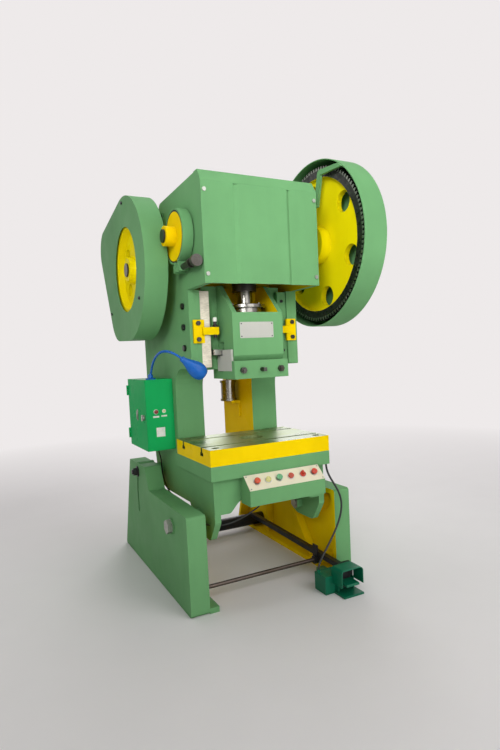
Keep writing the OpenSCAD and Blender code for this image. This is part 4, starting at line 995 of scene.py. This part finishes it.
def make_floor():
    """A pale disc that fades into the backdrop and keeps the shadow."""
    bm = bmesh.new()
    bmesh.ops.create_circle(bm, cap_ends=True, segments=96, radius=FLOOR_R)
    mesh = bpy.data.meshes.new("floor")
    bm.to_mesh(mesh)
    bm.free()
    floor = bpy.data.objects.new("floor", mesh)
    scene.collection.objects.link(floor)
    s = Shader("floor", **{"Roughness": 0.85, "Specular IOR Level": 0.1})
    grain = s.ramp(s.noise(5, 4), 0.3, 0.7)
    s.colour(s.mix(grain, scaled(FLOOR_TINT, 0.985), FLOOR_TINT))
    away = s.add("VectorMath", {"operation": "LENGTH"})
    s.set(away, {0: s.place})
    fade = s.ramp(away.outputs["Value"], FADE_FROM, FADE_TO)
    seen = s.add("LightPath").outputs["Is Camera Ray"]
    glow = s.add("Emission", Color=FLOOR_TINT, Strength=1.0)
    blend = s.tree.nodes.new("ShaderNodeMixShader")
    s.set(blend, {0: s.math("MULTIPLY", fade, seen), 1: s.surface.outputs[0], 2: glow.outputs[0]})
    s.tree.links.new(blend.outputs[0], s.tree.nodes["Material Output"].inputs["Surface"])
    mesh.materials.append(s.material)


def make_world():
    """Soft light all round, with the backdrop's colour where it is seen or mirrored."""
    world = bpy.data.worlds.new("studio")
    scene.world = world
    world.use_nodes = True
    tree = world.node_tree
    light = tree.nodes["Background"]
    light.inputs["Color"].default_value = (1.0, 1.0, 1.0, 1)
    light.inputs["Strength"].default_value = AMBIENT
    shown = tree.nodes.new("ShaderNodeBackground")
    shown.inputs["Color"].default_value = FLOOR_TINT
    path = tree.nodes.new("ShaderNodeLightPath")
    mirrored = tree.nodes.new("ShaderNodeMath")
    mirrored.operation = "MAXIMUM"
    either = tree.nodes.new("ShaderNodeMath")
    either.operation = "MAXIMUM"
    mix = tree.nodes.new("ShaderNodeMixShader")
    links = tree.links
    links.new(path.outputs["Is Glossy Ray"], mirrored.inputs[0])
    links.new(path.outputs["Is Transmission Ray"], mirrored.inputs[1])
    links.new(path.outputs["Is Camera Ray"], either.inputs[0])
    links.new(mirrored.outputs[0], either.inputs[1])
    links.new(either.outputs[0], mix.inputs[0])
    links.new(light.outputs[0], mix.inputs[1])
    links.new(shown.outputs[0], mix.inputs[2])
    links.new(mix.outputs[0], tree.nodes["World Output"].inputs["Surface"])


def area_light(name, place, target, size, power, spread=180):
    """A square lamp, in metres and watts, aimed at the target."""
    data = bpy.data.lights.new(name, "AREA")
    data.size = size
    data.energy = power
    data.spread = math.radians(spread)
    lamp = bpy.data.objects.new(name, data)
    lamp.location = place
    lamp.rotation_euler = (Vector(target) - Vector(place)).to_track_quat("-Z", "Y").to_euler()
    scene.collection.objects.link(lamp)


make_floor()
make_world()
area_light("key", (2.2, -4.6, 4.4), (0.0, -0.3, 1.0), size=3.0, power=74)
area_light("front_fill", (0.6, -5.2, 1.0), (0.0, -0.4, 0.8), size=3.0, power=54)
area_light("left_fill", (-2.2, -3.4, 2.6), (0.44, -0.37, 1.75), size=1.6, power=10, spread=46)
area_light("top", (0.2, 0.6, 5.4), (0.0, -0.2, 1.0), size=3.0, power=55)
area_light("back", (2.4, 5.0, 3.4), (0.0, 0.0, 1.0), size=3.0, power=90)
